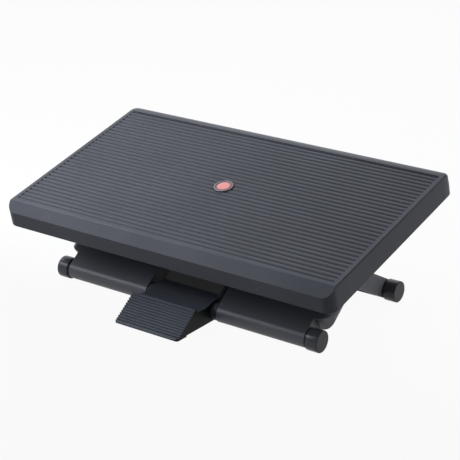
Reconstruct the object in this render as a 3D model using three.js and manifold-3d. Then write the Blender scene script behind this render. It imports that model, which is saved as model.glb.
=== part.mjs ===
// Tilting under desk footrest: a ribbed platform on two crossing moulded legs,
// held at any height and tilt by friction brakes that a foot pedal lets go.
// Millimetres, +Z up, +Y to the back, the floor at z = 0, the user at -Y.
import * as THREE from "three";
import { mergeVertices } from "three/addons/utils/BufferGeometryUtils.js";
import Module from "manifold-3d";

const wasm = await Module();
wasm.setup();

// Fits, and how far a cutter runs past what it cuts
const SEAT = 0.3;
const RUNNING = 0.3;
const OVERRUN = 5;
const MERGE_DISTANCE = 1e-4;

// Platform, measured from the middle of its flat top
const PLATFORM_WIDTH = 560;
const TOP_FRONT = 149.35;
const SKIRT_FRONT = 165;
const SKIRT_BACK = 161.6;
const BACK_ROLL_RADIUS = 19;
const BAND_DROP = 12;
const SKIRT_DEPTH = 35;
const SKIRT_FLARE = 0.8;
const SKIRT_WALL = 3;
const DECK_THICKNESS = 4;
const TOP_CORNER_RADIUS = 6;
const SKIRT_CORNER_RADIUS = 16;
const EDGE_SOFTENING = 1.2;

// Ribbed tread
const RIM_SIDE = 8;
const RIM_FRONT = 7.3;
const RIM_BACK = 5.5;
const GROOVES = 33;
const GROOVE_WIDTH = 3.8;
const GROOVE_DEPTH = 1.1;
const TREAD_DROP = 0.3;

// Badge at the platform's centre
const BADGE_RADIUS = 14.7;
const BADGE_DISC_RADIUS = 11;
const BADGE_RISE = 1.1;
const BADGE_RECESS = 2.2;
const BADGE_BEVEL = 0.9;
const BADGE_DOME = 0.5;

// Ribs and screw bosses under the platform
const STIFFENER = 2.2;
const STIFFENER_DEPTH = 10;
const BOSS_RADIUS = 5;

// Screws
const SCREW_RADIUS = 1.9;
const SCREW_HEAD_RADIUS = 3.6;
const SCREW_HEAD = 2.2;
const SCREW_HEAD_ROUNDING = 0.8;
const SCREW_MARGIN = 1.9;
const SCREW_COVER = 7;

// Shafts with their retaining rings and brake drums
const HINGE_SPREAD = 150;
const HUB_GAP = 4;
const SHAFT_RADIUS = 6;
const SHAFT_FLAT = 1.2;
const SHAFT_MARGIN = 0.8;
const RING_WIDTH = 1.4;
const RING_WALL = 3.2;
const DRUM_RADIUS = 15;
const DRUM_WIDTH = 20;
const DRUM_CHAMFER = 1;

// Saddles: the bearing blocks that carry the two shafts
const SADDLE_WIDTH = 16;
const SADDLE_WALL = 5.2;
const FLANGE = 6;

// Brake housing, shoes and springs
const HOUSING_CHEEK = 4;
const HOUSING_WALL = 4.4;
const HOUSING_CORE = 12;
const HOUSING_DRUM_GAP = 16;
const HOUSING_SCREW_INSET = 14;
const SHOE_HALF_HEIGHT = 8;
const SHOE_TAIL_RADIUS = 3;
const SHOE_TRAVEL = 1;
const SHOE_BACK_SHARE = 0.53;
const BRAKE_SPRING_RADIUS = 5;
const BRAKE_SPRING_WIRE = 0.6;
const BRAKE_SPRING_PITCH = 2.4;

// Both legs
const LEG_INSET = 51;
const LEG_CLEARANCE = 3;
const LEG_RADIUS = 14;
const LEG_WALL = 3;
const WINDOW_RADIUS = 12;

// Front leg, hung on the rear shaft
const FRONT_LEG_LENGTH = 217.6;
const FRONT_LEG_ANGLE = THREE.MathUtils.degToRad(24.13);
const FRONT_ARM_WIDTH = 18;
const FRONT_PANEL_RAIL = 13;
const SHOULDER_GAP = 6.9;

// Rear leg, hung on the front shaft
const REAR_LEG_LENGTH = 204.7;
const REAR_LEG_ANGLE = THREE.MathUtils.degToRad(42.22);
const REAR_ARM_WIDTH = 24;
const REAR_PANEL = 89.5;

// Feet: a steel tube through each leg's barrel and a round cap at each end
const FOOT_RADIUS = 15.9;
const FOOT_LENGTH = 20.3;
const FOOT_SIDES = 28;
const TUBE_RADIUS = 8;
const TUBE_WALL = 1.5;
const CAP_GAP = 0.5;
const CAP_END_WALL = 7.3;
const CAP_NECK = 1.9;
const CAP_NECK_STEP = 2.7;
const CAP_SOFTENING = 1.3;

// Pedal, measured from the front foot's axis
const PEDAL_WIDTH = 110;
const PEDAL_GAP = 7;
const PEDAL_WALL = 3;
const PEDAL_CHEEK = 2.4;
const PEDAL_HUB_WALL = 4.9;
const PEDAL_HUB_GAP = 1;
const PEDAL_CORNER_RADIUS = 6;
const PEDAL_TOE_REACH = 93.4;
const PEDAL_TOE_NOSE = 1.2;
const PEDAL_TOE_ROUNDING = 3.2;
const PEDAL_RIDGE_REACH = 49.9;
const PEDAL_RIDGE_LIFT = 7.9;
const PEDAL_RIDGE_ROUNDING = 2.2;
const PEDAL_DISH_SINK = 1.6;
const PEDAL_LIP_REACH = 5.4;
const PEDAL_LIP_LIFT = 2.6;

// Ribs on the pedal's sloping face
const PEDAL_GROOVES = 11;
const PEDAL_GROOVE_WIDTH = 2.3;
const PEDAL_GROOVE_DEPTH = 1.5;
const PEDAL_TREAD_DROP = 0.15;
const PEDAL_TREAD_MARGIN = 4.8;
const PEDAL_RIDGE_MARGIN = 3.9;

// Pedal's crank and return spring
const CRANK_REACH = 38;
const CRANK_TIP_RADIUS = 4;
const CRANK_WIDTH = 5;
const PEDAL_SPRING_HALF = 12;
const PEDAL_SPRING_WIRE = 0.8;
const PEDAL_SPRING_PITCH = 3.2;
const PEDAL_SPRING_GAP = 0.6;
const PEDAL_SPRING_ROOM = 1.2;

// Release cable
const CABLE_RADIUS = 2;
const CABLE_BEND = 16;

// Stations across the footrest, from the platform's edge inwards
const HALF_WIDTH = PLATFORM_WIDTH / 2;
const FRONT_ARM_OUTER = HALF_WIDTH - LEG_INSET;
const FRONT_ARM_INNER = FRONT_ARM_OUTER - FRONT_ARM_WIDTH;
const FOOT_HALF_SPAN = FRONT_ARM_INNER - LEG_CLEARANCE;
const REAR_ARM_INNER = FOOT_HALF_SPAN - REAR_ARM_WIDTH;
const REAR_SADDLE_X = FOOT_HALF_SPAN - SADDLE_WIDTH / 2;
const FRONT_SADDLE_X = REAR_ARM_INNER - LEG_CLEARANCE - SADDLE_WIDTH / 2;

// Depths under the platform's top, and the blocks screwed up against it
const RIB_BOTTOM = DECK_THICKNESS + STIFFENER_DEPTH;
const FLANGE_TOP = RIB_BOTTOM + SEAT;
const HINGE_DROP = RIB_BOTTOM + HUB_GAP + LEG_RADIUS;
const HINGE_Y = HINGE_SPREAD / 2;
const SADDLE_RADIUS = SHAFT_RADIUS + RUNNING + SADDLE_WALL;
const SADDLE_SCREW = SADDLE_RADIUS + SCREW_HEAD_RADIUS + SCREW_MARGIN;
const SADDLE_FLANGE = SADDLE_SCREW + BOSS_RADIUS;
const HOUSING_HALF_WIDTH = DRUM_WIDTH / 2 + HOUSING_CHEEK;
const HOUSING_HALF_LENGTH = HINGE_Y - DRUM_RADIUS - HOUSING_DRUM_GAP;
const HOUSING_SCREW_X = HOUSING_HALF_WIDTH + SCREW_HEAD_RADIUS + SCREW_MARGIN;
const HOUSING_SCREW_Y = HOUSING_HALF_LENGTH - HOUSING_SCREW_INSET;
const HOUSING_FLANGE = HOUSING_SCREW_X + BOSS_RADIUS;
const SHOE_HALF_WIDTH = HOUSING_HALF_WIDTH - HOUSING_WALL - RUNNING;
const SHOE_BACK = THREE.MathUtils.lerp(HOUSING_CORE, HOUSING_HALF_LENGTH, SHOE_BACK_SHARE);

// Pedal's corners in (y, z), and the cut-out in the front leg that its crank swings in
const PEDAL_HUB_RADIUS = TUBE_RADIUS + SEAT + PEDAL_HUB_WALL;
const PEDAL_BOTTOM = -PEDAL_HUB_RADIUS;
const PEDAL_DISH = PEDAL_HUB_RADIUS - PEDAL_DISH_SINK;
const PEDAL_TOE = new THREE.Vector2(-PEDAL_TOE_REACH, PEDAL_BOTTOM + PEDAL_TOE_NOSE);
const PEDAL_RIDGE = new THREE.Vector2(-PEDAL_RIDGE_REACH, PEDAL_DISH + PEDAL_RIDGE_LIFT);
const PEDAL_LIP = new THREE.Vector2(PEDAL_HUB_RADIUS + PEDAL_LIP_REACH, PEDAL_HUB_RADIUS + PEDAL_LIP_LIFT);
const PEDAL_BODY_HALF = PEDAL_WIDTH / 2 - PEDAL_CHEEK;
const PEDAL_SPRING_RADIUS = TUBE_RADIUS + PEDAL_SPRING_GAP + PEDAL_SPRING_WIRE;
const CUTOUT_HALF = PEDAL_WIDTH / 2 + PEDAL_GAP;
const CUTOUT_TOP = CRANK_REACH + CRANK_TIP_RADIUS + PEDAL_GAP;
const FRONT_PANEL = CUTOUT_TOP + FRONT_PANEL_RAIL;
const CAP_SOCKET = FOOT_LENGTH - CAP_END_WALL;
const CABLE_DROP = LEG_RADIUS + SEAT + CABLE_RADIUS;

// How the platform stands on its two feet
const FOOT_HEIGHT = FOOT_RADIUS * Math.cos(Math.PI / FOOT_SIDES);
const FRONT_RUN = FRONT_LEG_LENGTH * Math.cos(FRONT_LEG_ANGLE);
const FRONT_FALL = FRONT_LEG_LENGTH * Math.sin(FRONT_LEG_ANGLE);
const REAR_RUN = REAR_LEG_LENGTH * Math.cos(REAR_LEG_ANGLE);
const REAR_FALL = REAR_LEG_LENGTH * Math.sin(REAR_LEG_ANGLE);
const TILT = Math.atan2(REAR_FALL - FRONT_FALL, FRONT_RUN + REAR_RUN - HINGE_SPREAD);
const FRONT_LEG_SLOPE = FRONT_LEG_ANGLE + TILT;
const REAR_LEG_SLOPE = REAR_LEG_ANGLE - TILT;
const HINGE_HEIGHT = FOOT_HEIGHT + FRONT_LEG_LENGTH * Math.sin(FRONT_LEG_SLOPE);
const CENTRE_HEIGHT = HINGE_HEIGHT - HINGE_Y * Math.sin(TILT) + HINGE_DROP * Math.cos(TILT);

// Colours
const CHARCOAL = { color: 0x55585e, roughness: 0.62, metalness: 0 };
const LEG_PLASTIC = { color: 0x2f3035, roughness: 0.45, metalness: 0 };
const PEDAL_PLASTIC = { color: 0x44484e, roughness: 0.5, metalness: 0 };
const CAP_PLASTIC = { color: 0x2a2a2d, roughness: 0.25, metalness: 0 };
const RUBBER_RED = { color: 0xe8827d, roughness: 0.5, metalness: 0 };
const GREY_PLASTIC = { color: 0x77777b, roughness: 0.4, metalness: 0 };
const STEEL = { color: 0x8d9094, roughness: 0.35, metalness: 0.9 };
const DARK_STEEL = { color: 0x3c3e42, roughness: 0.45, metalness: 0.8 };
const SHOE_LINING = { color: 0x5a4a3c, roughness: 0.8, metalness: 0 };
const CABLE_SHEATH = { color: 0x1d1d1f, roughness: 0.5, metalness: 0 };

// Solids: closed geometries turned into manifolds, joined and cut
function solid(geometry) {
  const bare = geometry.index ? geometry.toNonIndexed() : geometry.clone();
  bare.deleteAttribute("normal");
  bare.deleteAttribute("uv");
  const merged = mergeVertices(bare, MERGE_DISTANCE);
  const vertProperties = merged.attributes.position.array;
  const triVerts = new Uint32Array(merged.index.array);
  const build = () => new wasm.Manifold(new wasm.Mesh({ numProp: 3, vertProperties, triVerts }));
  const made = build();
  if (made.volume() > 0) return made;
  for (let i = 0; i < triVerts.length; i += 3) {
    [triVerts[i + 1], triVerts[i + 2]] = [triVerts[i + 2], triVerts[i + 1]];
  }
  return build();
}

function join(solids) {
  return solids.reduce((whole, piece) => whole.add(piece));
}

function cut(whole, cutters) {
  return cutters.reduce((rest, cutter) => rest.subtract(cutter), whole);
}

function geometryOf(made) {
  const mesh = made.getMesh();
  const positions = new Float32Array(mesh.numVert * 3);
  for (let i = 0; i < mesh.numVert; i++) {
    positions.set(mesh.vertProperties.subarray(i * mesh.numProp, i * mesh.numProp + 3), i * 3);
  }
  const indexed = new THREE.BufferGeometry();
  indexed.setAttribute("position", new THREE.BufferAttribute(positions, 3));
  indexed.setIndex(new THREE.BufferAttribute(mesh.triVerts, 1));
  const geometry = indexed.toNonIndexed();
  geometry.computeVertexNormals();
  return geometry;
}

function part(name, made, look) {
  const mesh = new THREE.Mesh(geometryOf(made), new THREE.MeshStandardMaterial(look));
  mesh.name = name;
  return mesh;
}

// A closed outline from pairs of numbers
function shapeOf(points) {
  return new THREE.Shape(points.map(([a, b]) => new THREE.Vector2(a, b)));
}

// Points along an arc from one angle to another, both ends included
function arcOf({ x = 0, y = 0, radius, from, to, steps }) {
  return Array.from({ length: steps + 1 }, (_, i) => {
    const angle = THREE.MathUtils.lerp(from, to, i / steps);
    return [x + radius * Math.cos(angle), y + radius * Math.sin(angle)];
  });
}

// An outline of (y, z) pulled along X between two stations
function alongX(shape, from, to) {
  const geometry = new THREE.ExtrudeGeometry(shape, { depth: to - from, bevelEnabled: false });
  const turn = new THREE.Matrix4().makeBasis(
    new THREE.Vector3(0, 1, 0),
    new THREE.Vector3(0, 0, 1),
    new THREE.Vector3(1, 0, 0),
  );
  geometry.applyMatrix4(turn);
  geometry.translate(from, 0, 0);
  return solid(geometry);
}

// An outline of (x, y) pulled along Z between two levels
function alongZ(shape, from, to) {
  const geometry = new THREE.ExtrudeGeometry(shape, { depth: to - from, bevelEnabled: false });
  geometry.translate(0, 0, from);
  return solid(geometry);
}

// An outline of (z, x) pulled along Y between two stations
function alongY(shape, from, to) {
  const geometry = new THREE.ExtrudeGeometry(shape, { depth: to - from, bevelEnabled: false });
  const turn = new THREE.Matrix4().makeBasis(
    new THREE.Vector3(0, 0, 1),
    new THREE.Vector3(1, 0, 0),
    new THREE.Vector3(0, 1, 0),
  );
  geometry.applyMatrix4(turn);
  geometry.translate(0, from, 0);
  return solid(geometry);
}

// A box between two corners
function box([x0, y0, z0], [x1, y1, z1]) {
  const geometry = new THREE.BoxGeometry(x1 - x0, y1 - y0, z1 - z0);
  geometry.translate((x0 + x1) / 2, (y0 + y1) / 2, (z0 + z1) / 2);
  return solid(geometry);
}

// A profile of (radius, x) turned about the X axis, a facet facing straight down
function turned(profile, sides) {
  const points = profile.map(([radius, x]) => new THREE.Vector2(radius, x));
  const geometry = new THREE.LatheGeometry(points, sides, Math.PI / sides);
  geometry.rotateZ(-Math.PI / 2);
  return solid(geometry);
}

// A profile of (radius, z) turned about the Z axis
function spun(profile, sides) {
  const points = profile.map(([radius, z]) => new THREE.Vector2(radius, z));
  const geometry = new THREE.LatheGeometry(points, sides);
  geometry.rotateX(Math.PI / 2);
  return solid(geometry);
}

// A plain rod along X, and one along Z
function rodX(radius, from, to, sides) {
  return turned([[0, from], [radius, from], [radius, to], [0, to]], sides);
}

function rodZ(radius, from, to, sides) {
  return spun([[0, from], [radius, from], [radius, to], [0, to]], sides);
}

// A closed skin over rings of the same number of points, from the lowest to the highest
function loft(rings) {
  const sides = rings[0].length;
  const positions = rings.flat().flatMap((p) => [p.x, p.y, p.z]);
  const index = [];
  for (let r = 0; r + 1 < rings.length; r++) {
    for (let i = 0; i < sides; i++) {
      const a = r * sides + i;
      const b = r * sides + ((i + 1) % sides);
      index.push(a, b, b + sides, a, b + sides, a + sides);
    }
  }
  const last = (rings.length - 1) * sides;
  for (let i = 1; i + 1 < sides; i++) {
    index.push(0, i + 1, i, last, last + i, last + i + 1);
  }
  const geometry = new THREE.BufferGeometry();
  geometry.setAttribute("position", new THREE.Float32BufferAttribute(positions, 3));
  geometry.setIndex(index);
  return solid(geometry);
}

// The platform's outline at one level: a rectangle with round corners
function platformRing({ half, front, back, frontCorner, backCorner, z }) {
  const steps = 8;
  const corners = [
    [half - backCorner, back - backCorner, backCorner],
    [backCorner - half, back - backCorner, backCorner],
    [frontCorner - half, frontCorner - front, frontCorner],
    [half - frontCorner, frontCorner - front, frontCorner],
  ];
  return corners.flatMap(([x, y, radius], quarter) => {
    const from = (quarter * Math.PI) / 2;
    const arc = arcOf({ x, y, radius, from, to: from + Math.PI / 2, steps });
    return arc.map(([px, py]) => new THREE.Vector3(px, py, z));
  });
}

// The platform's sizes at a depth under its top: plain sides, a flat front and a rolled back
function platformLevel(depth, inset) {
  const topShare = Math.max(1 - depth / BAND_DROP, 0);
  const softening = Math.max(EDGE_SOFTENING - depth, 0);
  const draft = (SKIRT_FLARE * depth) / SKIRT_DEPTH;
  const rolled = Math.max(BACK_ROLL_RADIUS - depth, 0);
  return {
    half: HALF_WIDTH - softening + draft - inset,
    front: SKIRT_FRONT - inset,
    back: SKIRT_BACK - BACK_ROLL_RADIUS + Math.sqrt(BACK_ROLL_RADIUS ** 2 - rolled ** 2) - inset,
    frontCorner: SKIRT_CORNER_RADIUS - inset,
    backCorner: THREE.MathUtils.lerp(SKIRT_CORNER_RADIUS, TOP_CORNER_RADIUS, topShare) - inset,
    z: -depth,
  };
}

// What a sloped front band takes off: all that lies above a plane from the top edge down to the skirt
function bandCutter(inset) {
  const half = HALF_WIDTH + OVERRUN;
  const run = SKIRT_FRONT - TOP_FRONT;
  const outline = [
    [inset - TOP_FRONT + run, BAND_DROP],
    [inset - SKIRT_FRONT - run, -BAND_DROP * 2],
    [inset - SKIRT_FRONT - run, BAND_DROP],
  ];
  return alongX(shapeOf(outline), -half, half);
}

function platformShell() {
  const rollSteps = 8;
  const rollDepths = Array.from(
    { length: rollSteps + 1 },
    (_, i) => BACK_ROLL_RADIUS * (1 - Math.cos((i * Math.PI) / (2 * rollSteps))),
  );
  const depths = [...rollDepths, EDGE_SOFTENING, BAND_DROP, SKIRT_DEPTH].sort((a, b) => b - a);
  const block = loft(depths.map((depth) => platformRing(platformLevel(depth, 0))));
  return cut(block, [bandCutter(0)]);
}

// The hollow under the deck, open below
function platformHollow() {
  const depths = [SKIRT_DEPTH, BACK_ROLL_RADIUS, BAND_DROP, DECK_THICKNESS].sort((a, b) => b - a);
  const rings = depths.map((depth) => platformRing(platformLevel(depth, SKIRT_WALL)));
  const mouth = rings[0].map((p) => new THREE.Vector3(p.x, p.y, p.z - OVERRUN));
  return cut(loft([mouth, ...rings]), [bandCutter(SKIRT_WALL)]);
}

// A comb of grooves along a straight face: the cutter's outline, from a start point and two directions
function combOutline({ start, along, out, length, grooves, width, floorShare, depth, crown }) {
  const pitch = (length - width) / (grooves - 1);
  const floor = width * floorShare;
  const place = (run, rise) => start.clone().addScaledVector(along, run).addScaledVector(out, rise);
  const points = [place(0, OVERRUN), place(0, -crown)];
  for (let i = 0; i < grooves; i++) {
    const middle = width / 2 + i * pitch;
    if (i > 0) points.push(place(middle - width / 2, -crown));
    points.push(place(middle - floor / 2, -crown - depth), place(middle + floor / 2, -crown - depth));
    if (i + 1 < grooves) points.push(place(middle + width / 2, -crown));
  }
  points.push(place(length, -crown), place(length, OVERRUN));
  return new THREE.Shape(points);
}

function treadCutter() {
  const front = RIM_FRONT - TOP_FRONT;
  const back = SKIRT_BACK - BACK_ROLL_RADIUS - RIM_BACK;
  const half = HALF_WIDTH - RIM_SIDE;
  const outline = combOutline({
    start: new THREE.Vector2(front, 0),
    along: new THREE.Vector2(1, 0),
    out: new THREE.Vector2(0, 1),
    length: back - front,
    grooves: GROOVES,
    width: GROOVE_WIDTH,
    floorShare: 0.45,
    depth: GROOVE_DEPTH,
    crown: TREAD_DROP,
  });
  return alongX(outline, -half, half);
}

// The crossing ribs moulded under the deck, kept inside the skirt
function platformStiffeners(hollow) {
  const lengthShares = [-0.82, -0.57, -0.29, 0.29, 0.57, 0.82];
  const widthShares = [0.14, 0.4, 0.64, 0.88];
  const top = SEAT - DECK_THICKNESS;
  const half = STIFFENER / 2;
  const long = lengthShares.map((share) => {
    const y = share * TOP_FRONT;
    return box([-HALF_WIDTH, y - half, -RIB_BOTTOM], [HALF_WIDTH, y + half, top]);
  });
  const cross = widthShares.flatMap((share) =>
    [-share, share].map((side) => {
      const x = side * HALF_WIDTH;
      return box([x - half, -SKIRT_FRONT, -RIB_BOTTOM], [x + half, SKIRT_BACK, top]);
    }),
  );
  const around = hollow.translate([0, 0, SEAT * 2]);
  return [...long, ...cross].map((rib) => rib.intersect(around));
}

function saddlePlaces() {
  return ["left", "right"].flatMap((end) => {
    const side = end === "left" ? -1 : 1;
    return [
      { name: "front_saddle_" + end, x: side * FRONT_SADDLE_X, y: -HINGE_Y },
      { name: "rear_saddle_" + end, x: side * REAR_SADDLE_X, y: HINGE_Y },
    ];
  });
}

function screwPlaces() {
  const saddleScrews = saddlePlaces().flatMap(({ name, x, y }) => [
    { name: name + "_screw_front", x, y: y - SADDLE_SCREW },
    { name: name + "_screw_back", x, y: y + SADDLE_SCREW },
  ]);
  const housingScrews = [
    { name: "housing_screw_front_left", x: -HOUSING_SCREW_X, y: -HOUSING_SCREW_Y },
    { name: "housing_screw_front_right", x: HOUSING_SCREW_X, y: -HOUSING_SCREW_Y },
    { name: "housing_screw_back_left", x: -HOUSING_SCREW_X, y: HOUSING_SCREW_Y },
    { name: "housing_screw_back_right", x: HOUSING_SCREW_X, y: HOUSING_SCREW_Y },
  ];
  return [...saddleScrews, ...housingScrews];
}

function platformTray() {
  const bossSides = 12;
  const badgeSides = 36;
  const hollow = platformHollow();
  const shell = cut(platformShell(), [hollow, treadCutter()]);
  const bosses = screwPlaces().map(({ x, y }) =>
    rodZ(BOSS_RADIUS, -RIB_BOTTOM, SEAT - DECK_THICKNESS, bossSides).translate([x, y, 0]),
  );
  const pilots = screwPlaces().map(({ x, y }) =>
    rodZ(SCREW_RADIUS + SEAT, -RIB_BOTTOM - OVERRUN, SEAT - SCREW_COVER, bossSides).translate([x, y, 0]),
  );
  const recess = rodZ(BADGE_RADIUS + SEAT, -BADGE_RECESS, OVERRUN, badgeSides);
  return cut(join([shell, ...platformStiffeners(hollow), ...bosses]), [...pilots, recess]);
}

function badgeRing() {
  const sides = 36;
  const inner = BADGE_DISC_RADIUS + SEAT;
  return spun(
    [
      [inner, SEAT - BADGE_RECESS],
      [BADGE_RADIUS, SEAT - BADGE_RECESS],
      [BADGE_RADIUS, BADGE_RISE - BADGE_BEVEL],
      [BADGE_RADIUS - BADGE_BEVEL, BADGE_RISE],
      [inner + BADGE_BEVEL, BADGE_RISE],
      [inner, BADGE_RISE - BADGE_BEVEL],
      [inner, SEAT - BADGE_RECESS],
    ],
    sides,
  );
}

function badgeDisc() {
  const sides = 36;
  const domeSteps = 4;
  const edge = BADGE_RISE - BADGE_DOME;
  const dome = Array.from({ length: domeSteps }, (_, i) => {
    const angle = (i * Math.PI) / (2 * domeSteps);
    return [BADGE_DISC_RADIUS * Math.cos(angle), edge + BADGE_DOME * Math.sin(angle)];
  });
  const bottom = SEAT - BADGE_RECESS;
  return spun([[0, bottom], [BADGE_DISC_RADIUS, bottom], ...dome, [0, BADGE_RISE]], sides);
}

// A round bar with one flat, and the bore that it drives
function flattedShape(radius) {
  const half = Math.acos((SHAFT_RADIUS - SHAFT_FLAT) / SHAFT_RADIUS);
  return shapeOf(arcOf({ radius, from: half, to: 2 * Math.PI - half, steps: 20 }));
}

function shaft(halfLength) {
  return alongX(flattedShape(SHAFT_RADIUS), -halfLength, halfLength);
}

function drivenBore(from, to) {
  return alongX(flattedShape(SHAFT_RADIUS + SEAT), from, to);
}

// Rings that keep the legs on their shafts
function retainingRing(x) {
  const sides = 20;
  const inner = SHAFT_RADIUS + SEAT;
  const outer = inner + RING_WALL;
  const end = x + RING_WIDTH;
  return turned([[inner, x], [outer, x], [outer, end], [inner, end], [inner, x]], sides);
}

function brakeDrum() {
  const sides = 32;
  const half = DRUM_WIDTH / 2;
  const drum = turned(
    [
      [0, -half],
      [DRUM_RADIUS - DRUM_CHAMFER, -half],
      [DRUM_RADIUS, DRUM_CHAMFER - half],
      [DRUM_RADIUS, half - DRUM_CHAMFER],
      [DRUM_RADIUS - DRUM_CHAMFER, half],
      [0, half],
    ],
    sides,
  );
  return cut(drum, [drivenBore(-DRUM_WIDTH, DRUM_WIDTH)]);
}

// One bearing block in (y, z) about its shaft: a flange above, a round nose below
function saddle() {
  const boreSides = 24;
  const top = HINGE_DROP - FLANGE_TOP;
  const nose = arcOf({ radius: SADDLE_RADIUS, from: Math.PI, to: 2 * Math.PI, steps: 10 });
  const outline = shapeOf([
    [SADDLE_FLANGE, top],
    [-SADDLE_FLANGE, top],
    [-SADDLE_FLANGE, top - FLANGE],
    [-SADDLE_RADIUS, top - FLANGE],
    ...nose,
    [SADDLE_RADIUS, top - FLANGE],
    [SADDLE_FLANGE, top - FLANGE],
  ]);
  const half = SADDLE_WIDTH / 2;
  const bore = rodX(SHAFT_RADIUS + RUNNING, -SADDLE_WIDTH, SADDLE_WIDTH, boreSides);
  const holes = [-SADDLE_SCREW, SADDLE_SCREW].map((y) => screwHole().translate([0, y, HINGE_DROP]));
  return cut(alongX(outline, -half, half), [bore, ...holes]);
}

function screwHole() {
  const sides = 12;
  return rodZ(SCREW_RADIUS + SEAT, -FLANGE_TOP - FLANGE - OVERRUN, OVERRUN - FLANGE_TOP, sides);
}

// A pan head screw, upside down under its flange
function screw() {
  const sides = 10;
  const seat = -FLANGE_TOP - FLANGE - SEAT;
  return spun(
    [
      [0, seat - SCREW_HEAD],
      [SCREW_HEAD_RADIUS - SCREW_HEAD_ROUNDING, seat - SCREW_HEAD],
      [SCREW_HEAD_RADIUS, seat - SCREW_HEAD + SCREW_HEAD_ROUNDING],
      [SCREW_HEAD_RADIUS, seat],
      [SCREW_RADIUS, seat],
      [SCREW_RADIUS, -SCREW_COVER],
      [0, -SCREW_COVER],
    ],
    sides,
  );
}

// Brake housing: a block under the deck with a channel for a shoe at each end
function brakeHousing() {
  const tailSides = 16;
  const channelHalf = SHOE_HALF_WIDTH + RUNNING;
  const channelTop = SHOE_HALF_HEIGHT + RUNNING - HINGE_DROP;
  const channelBottom = -SHOE_HALF_HEIGHT - RUNNING - HINGE_DROP;
  const bottom = channelBottom - HOUSING_WALL;
  const block = box(
    [-HOUSING_HALF_WIDTH, -HOUSING_HALF_LENGTH, bottom],
    [HOUSING_HALF_WIDTH, HOUSING_HALF_LENGTH, -FLANGE_TOP],
  );
  const flange = box(
    [-HOUSING_FLANGE, -HOUSING_HALF_LENGTH, -FLANGE_TOP - FLANGE],
    [HOUSING_FLANGE, HOUSING_HALF_LENGTH, -FLANGE_TOP],
  );
  const end = HOUSING_HALF_LENGTH + OVERRUN;
  const channel = box([-channelHalf, HOUSING_CORE, channelBottom], [channelHalf, end, channelTop]);
  const window = box(
    [-BRAKE_SPRING_RADIUS, HOUSING_CORE, bottom - OVERRUN],
    [BRAKE_SPRING_RADIUS, SHOE_BACK, channelBottom + RUNNING],
  );
  const bothEnds = [channel, window].flatMap((cutter) => [cutter, cutter.rotate([0, 0, 180])]);
  const tail = rodX(SHOE_TAIL_RADIUS + RUNNING, -HOUSING_CORE - OVERRUN, HOUSING_CORE + OVERRUN, tailSides)
    .rotate([0, 0, 90])
    .translate([0, 0, -HINGE_DROP]);
  const holes = screwPlaces()
    .filter(({ name }) => name.startsWith("housing"))
    .map(({ x, y }) => screwHole().translate([x, y, 0]));
  return cut(join([block, flange]), [...bothEnds, tail, ...holes]);
}

// A brake shoe that faces the drum at -Y, its tail rod running back into the housing
function brakeShoe() {
  const tailSides = 12;
  const height = SHOE_HALF_HEIGHT;
  const reach = DRUM_RADIUS + SEAT;
  const spread = Math.asin((height - SEAT) / reach);
  const face = arcOf({ x: -HINGE_Y, radius: reach, from: spread, to: -spread, steps: 8 });
  const lip = reach - HINGE_Y;
  const outline = shapeOf([
    [-SHOE_BACK, height],
    [lip, height],
    ...face,
    [lip, -height],
    [-SHOE_BACK, -height],
  ]);
  const shoe = alongX(outline, -SHOE_HALF_WIDTH, SHOE_HALF_WIDTH);
  const tailEnd = SHOE_TRAVEL + SEAT * 2;
  const tail = rodX(SHOE_TAIL_RADIUS, -SHOE_BACK - SEAT, -tailEnd, tailSides).rotate([0, 0, 90]);
  return join([shoe, tail]);
}

// A coil of round wire about X: rings of a few points along a helix, closed by two end caps
function coil({ radius, wire, pitch, from, to }) {
  const steps = 8;
  const sides = 5;
  const turns = Math.max(Math.round((to - from) / pitch), 1);
  const count = turns * steps;
  const side = new THREE.Vector3(1, 0, 0);
  const rings = Array.from({ length: count + 1 }, (_, i) => {
    const angle = (i * 2 * Math.PI) / steps;
    const outward = new THREE.Vector3(0, Math.cos(angle), Math.sin(angle));
    const centre = outward.clone().multiplyScalar(radius).setX(THREE.MathUtils.lerp(from, to, i / count));
    return arcOf({ radius: wire, from: 0, to: 2 * Math.PI, steps: sides })
      .slice(1)
      .map(([rise, run]) => centre.clone().addScaledVector(outward, rise).addScaledVector(side, run));
  });
  console.log("coil's least gap to itself: " + leastCoilGap(rings, steps).toFixed(2) + " mm");
  return loft(rings);
}

// Least gap between points of the wire's skin that lie more than half a turn apart
function leastCoilGap(rings, steps) {
  let least = Infinity;
  rings.forEach((ring, i) => {
    const others = rings.slice(i + steps / 2 + 1).flat();
    ring.forEach((a) => others.forEach((b) => (least = Math.min(least, a.distanceTo(b)))));
  });
  return least;
}

function brakeSpring() {
  return coil({
    radius: BRAKE_SPRING_RADIUS - BRAKE_SPRING_WIRE,
    wire: BRAKE_SPRING_WIRE,
    pitch: BRAKE_SPRING_PITCH,
    from: SEAT + BRAKE_SPRING_WIRE + SHOE_TRAVEL - SHOE_BACK,
    to: -HOUSING_CORE - SEAT - BRAKE_SPRING_WIRE,
  });
}

// A leg's side outline in (y, z): a straight slab as thick as its round foot and hub
function legSide(length) {
  const shape = new THREE.Shape();
  shape.absarc(0, 0, LEG_RADIUS, Math.PI / 2, (3 * Math.PI) / 2, false);
  shape.absarc(length, 0, LEG_RADIUS, -Math.PI / 2, Math.PI / 2, false);
  return shape;
}

// Both halves of a plan in (x, y), from its right half
function mirroredPlan(right) {
  return shapeOf([...right, ...right.map(([x, y]) => [-x, y]).reverse()]);
}

// The lower corner of the window between two arms
function windowCorner(armInner, panelTop) {
  const x = armInner - WINDOW_RADIUS;
  const y = panelTop + WINDOW_RADIUS;
  return arcOf({ x, y, radius: WINDOW_RADIUS, from: 0, to: -Math.PI / 2, steps: 5 });
}

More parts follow.
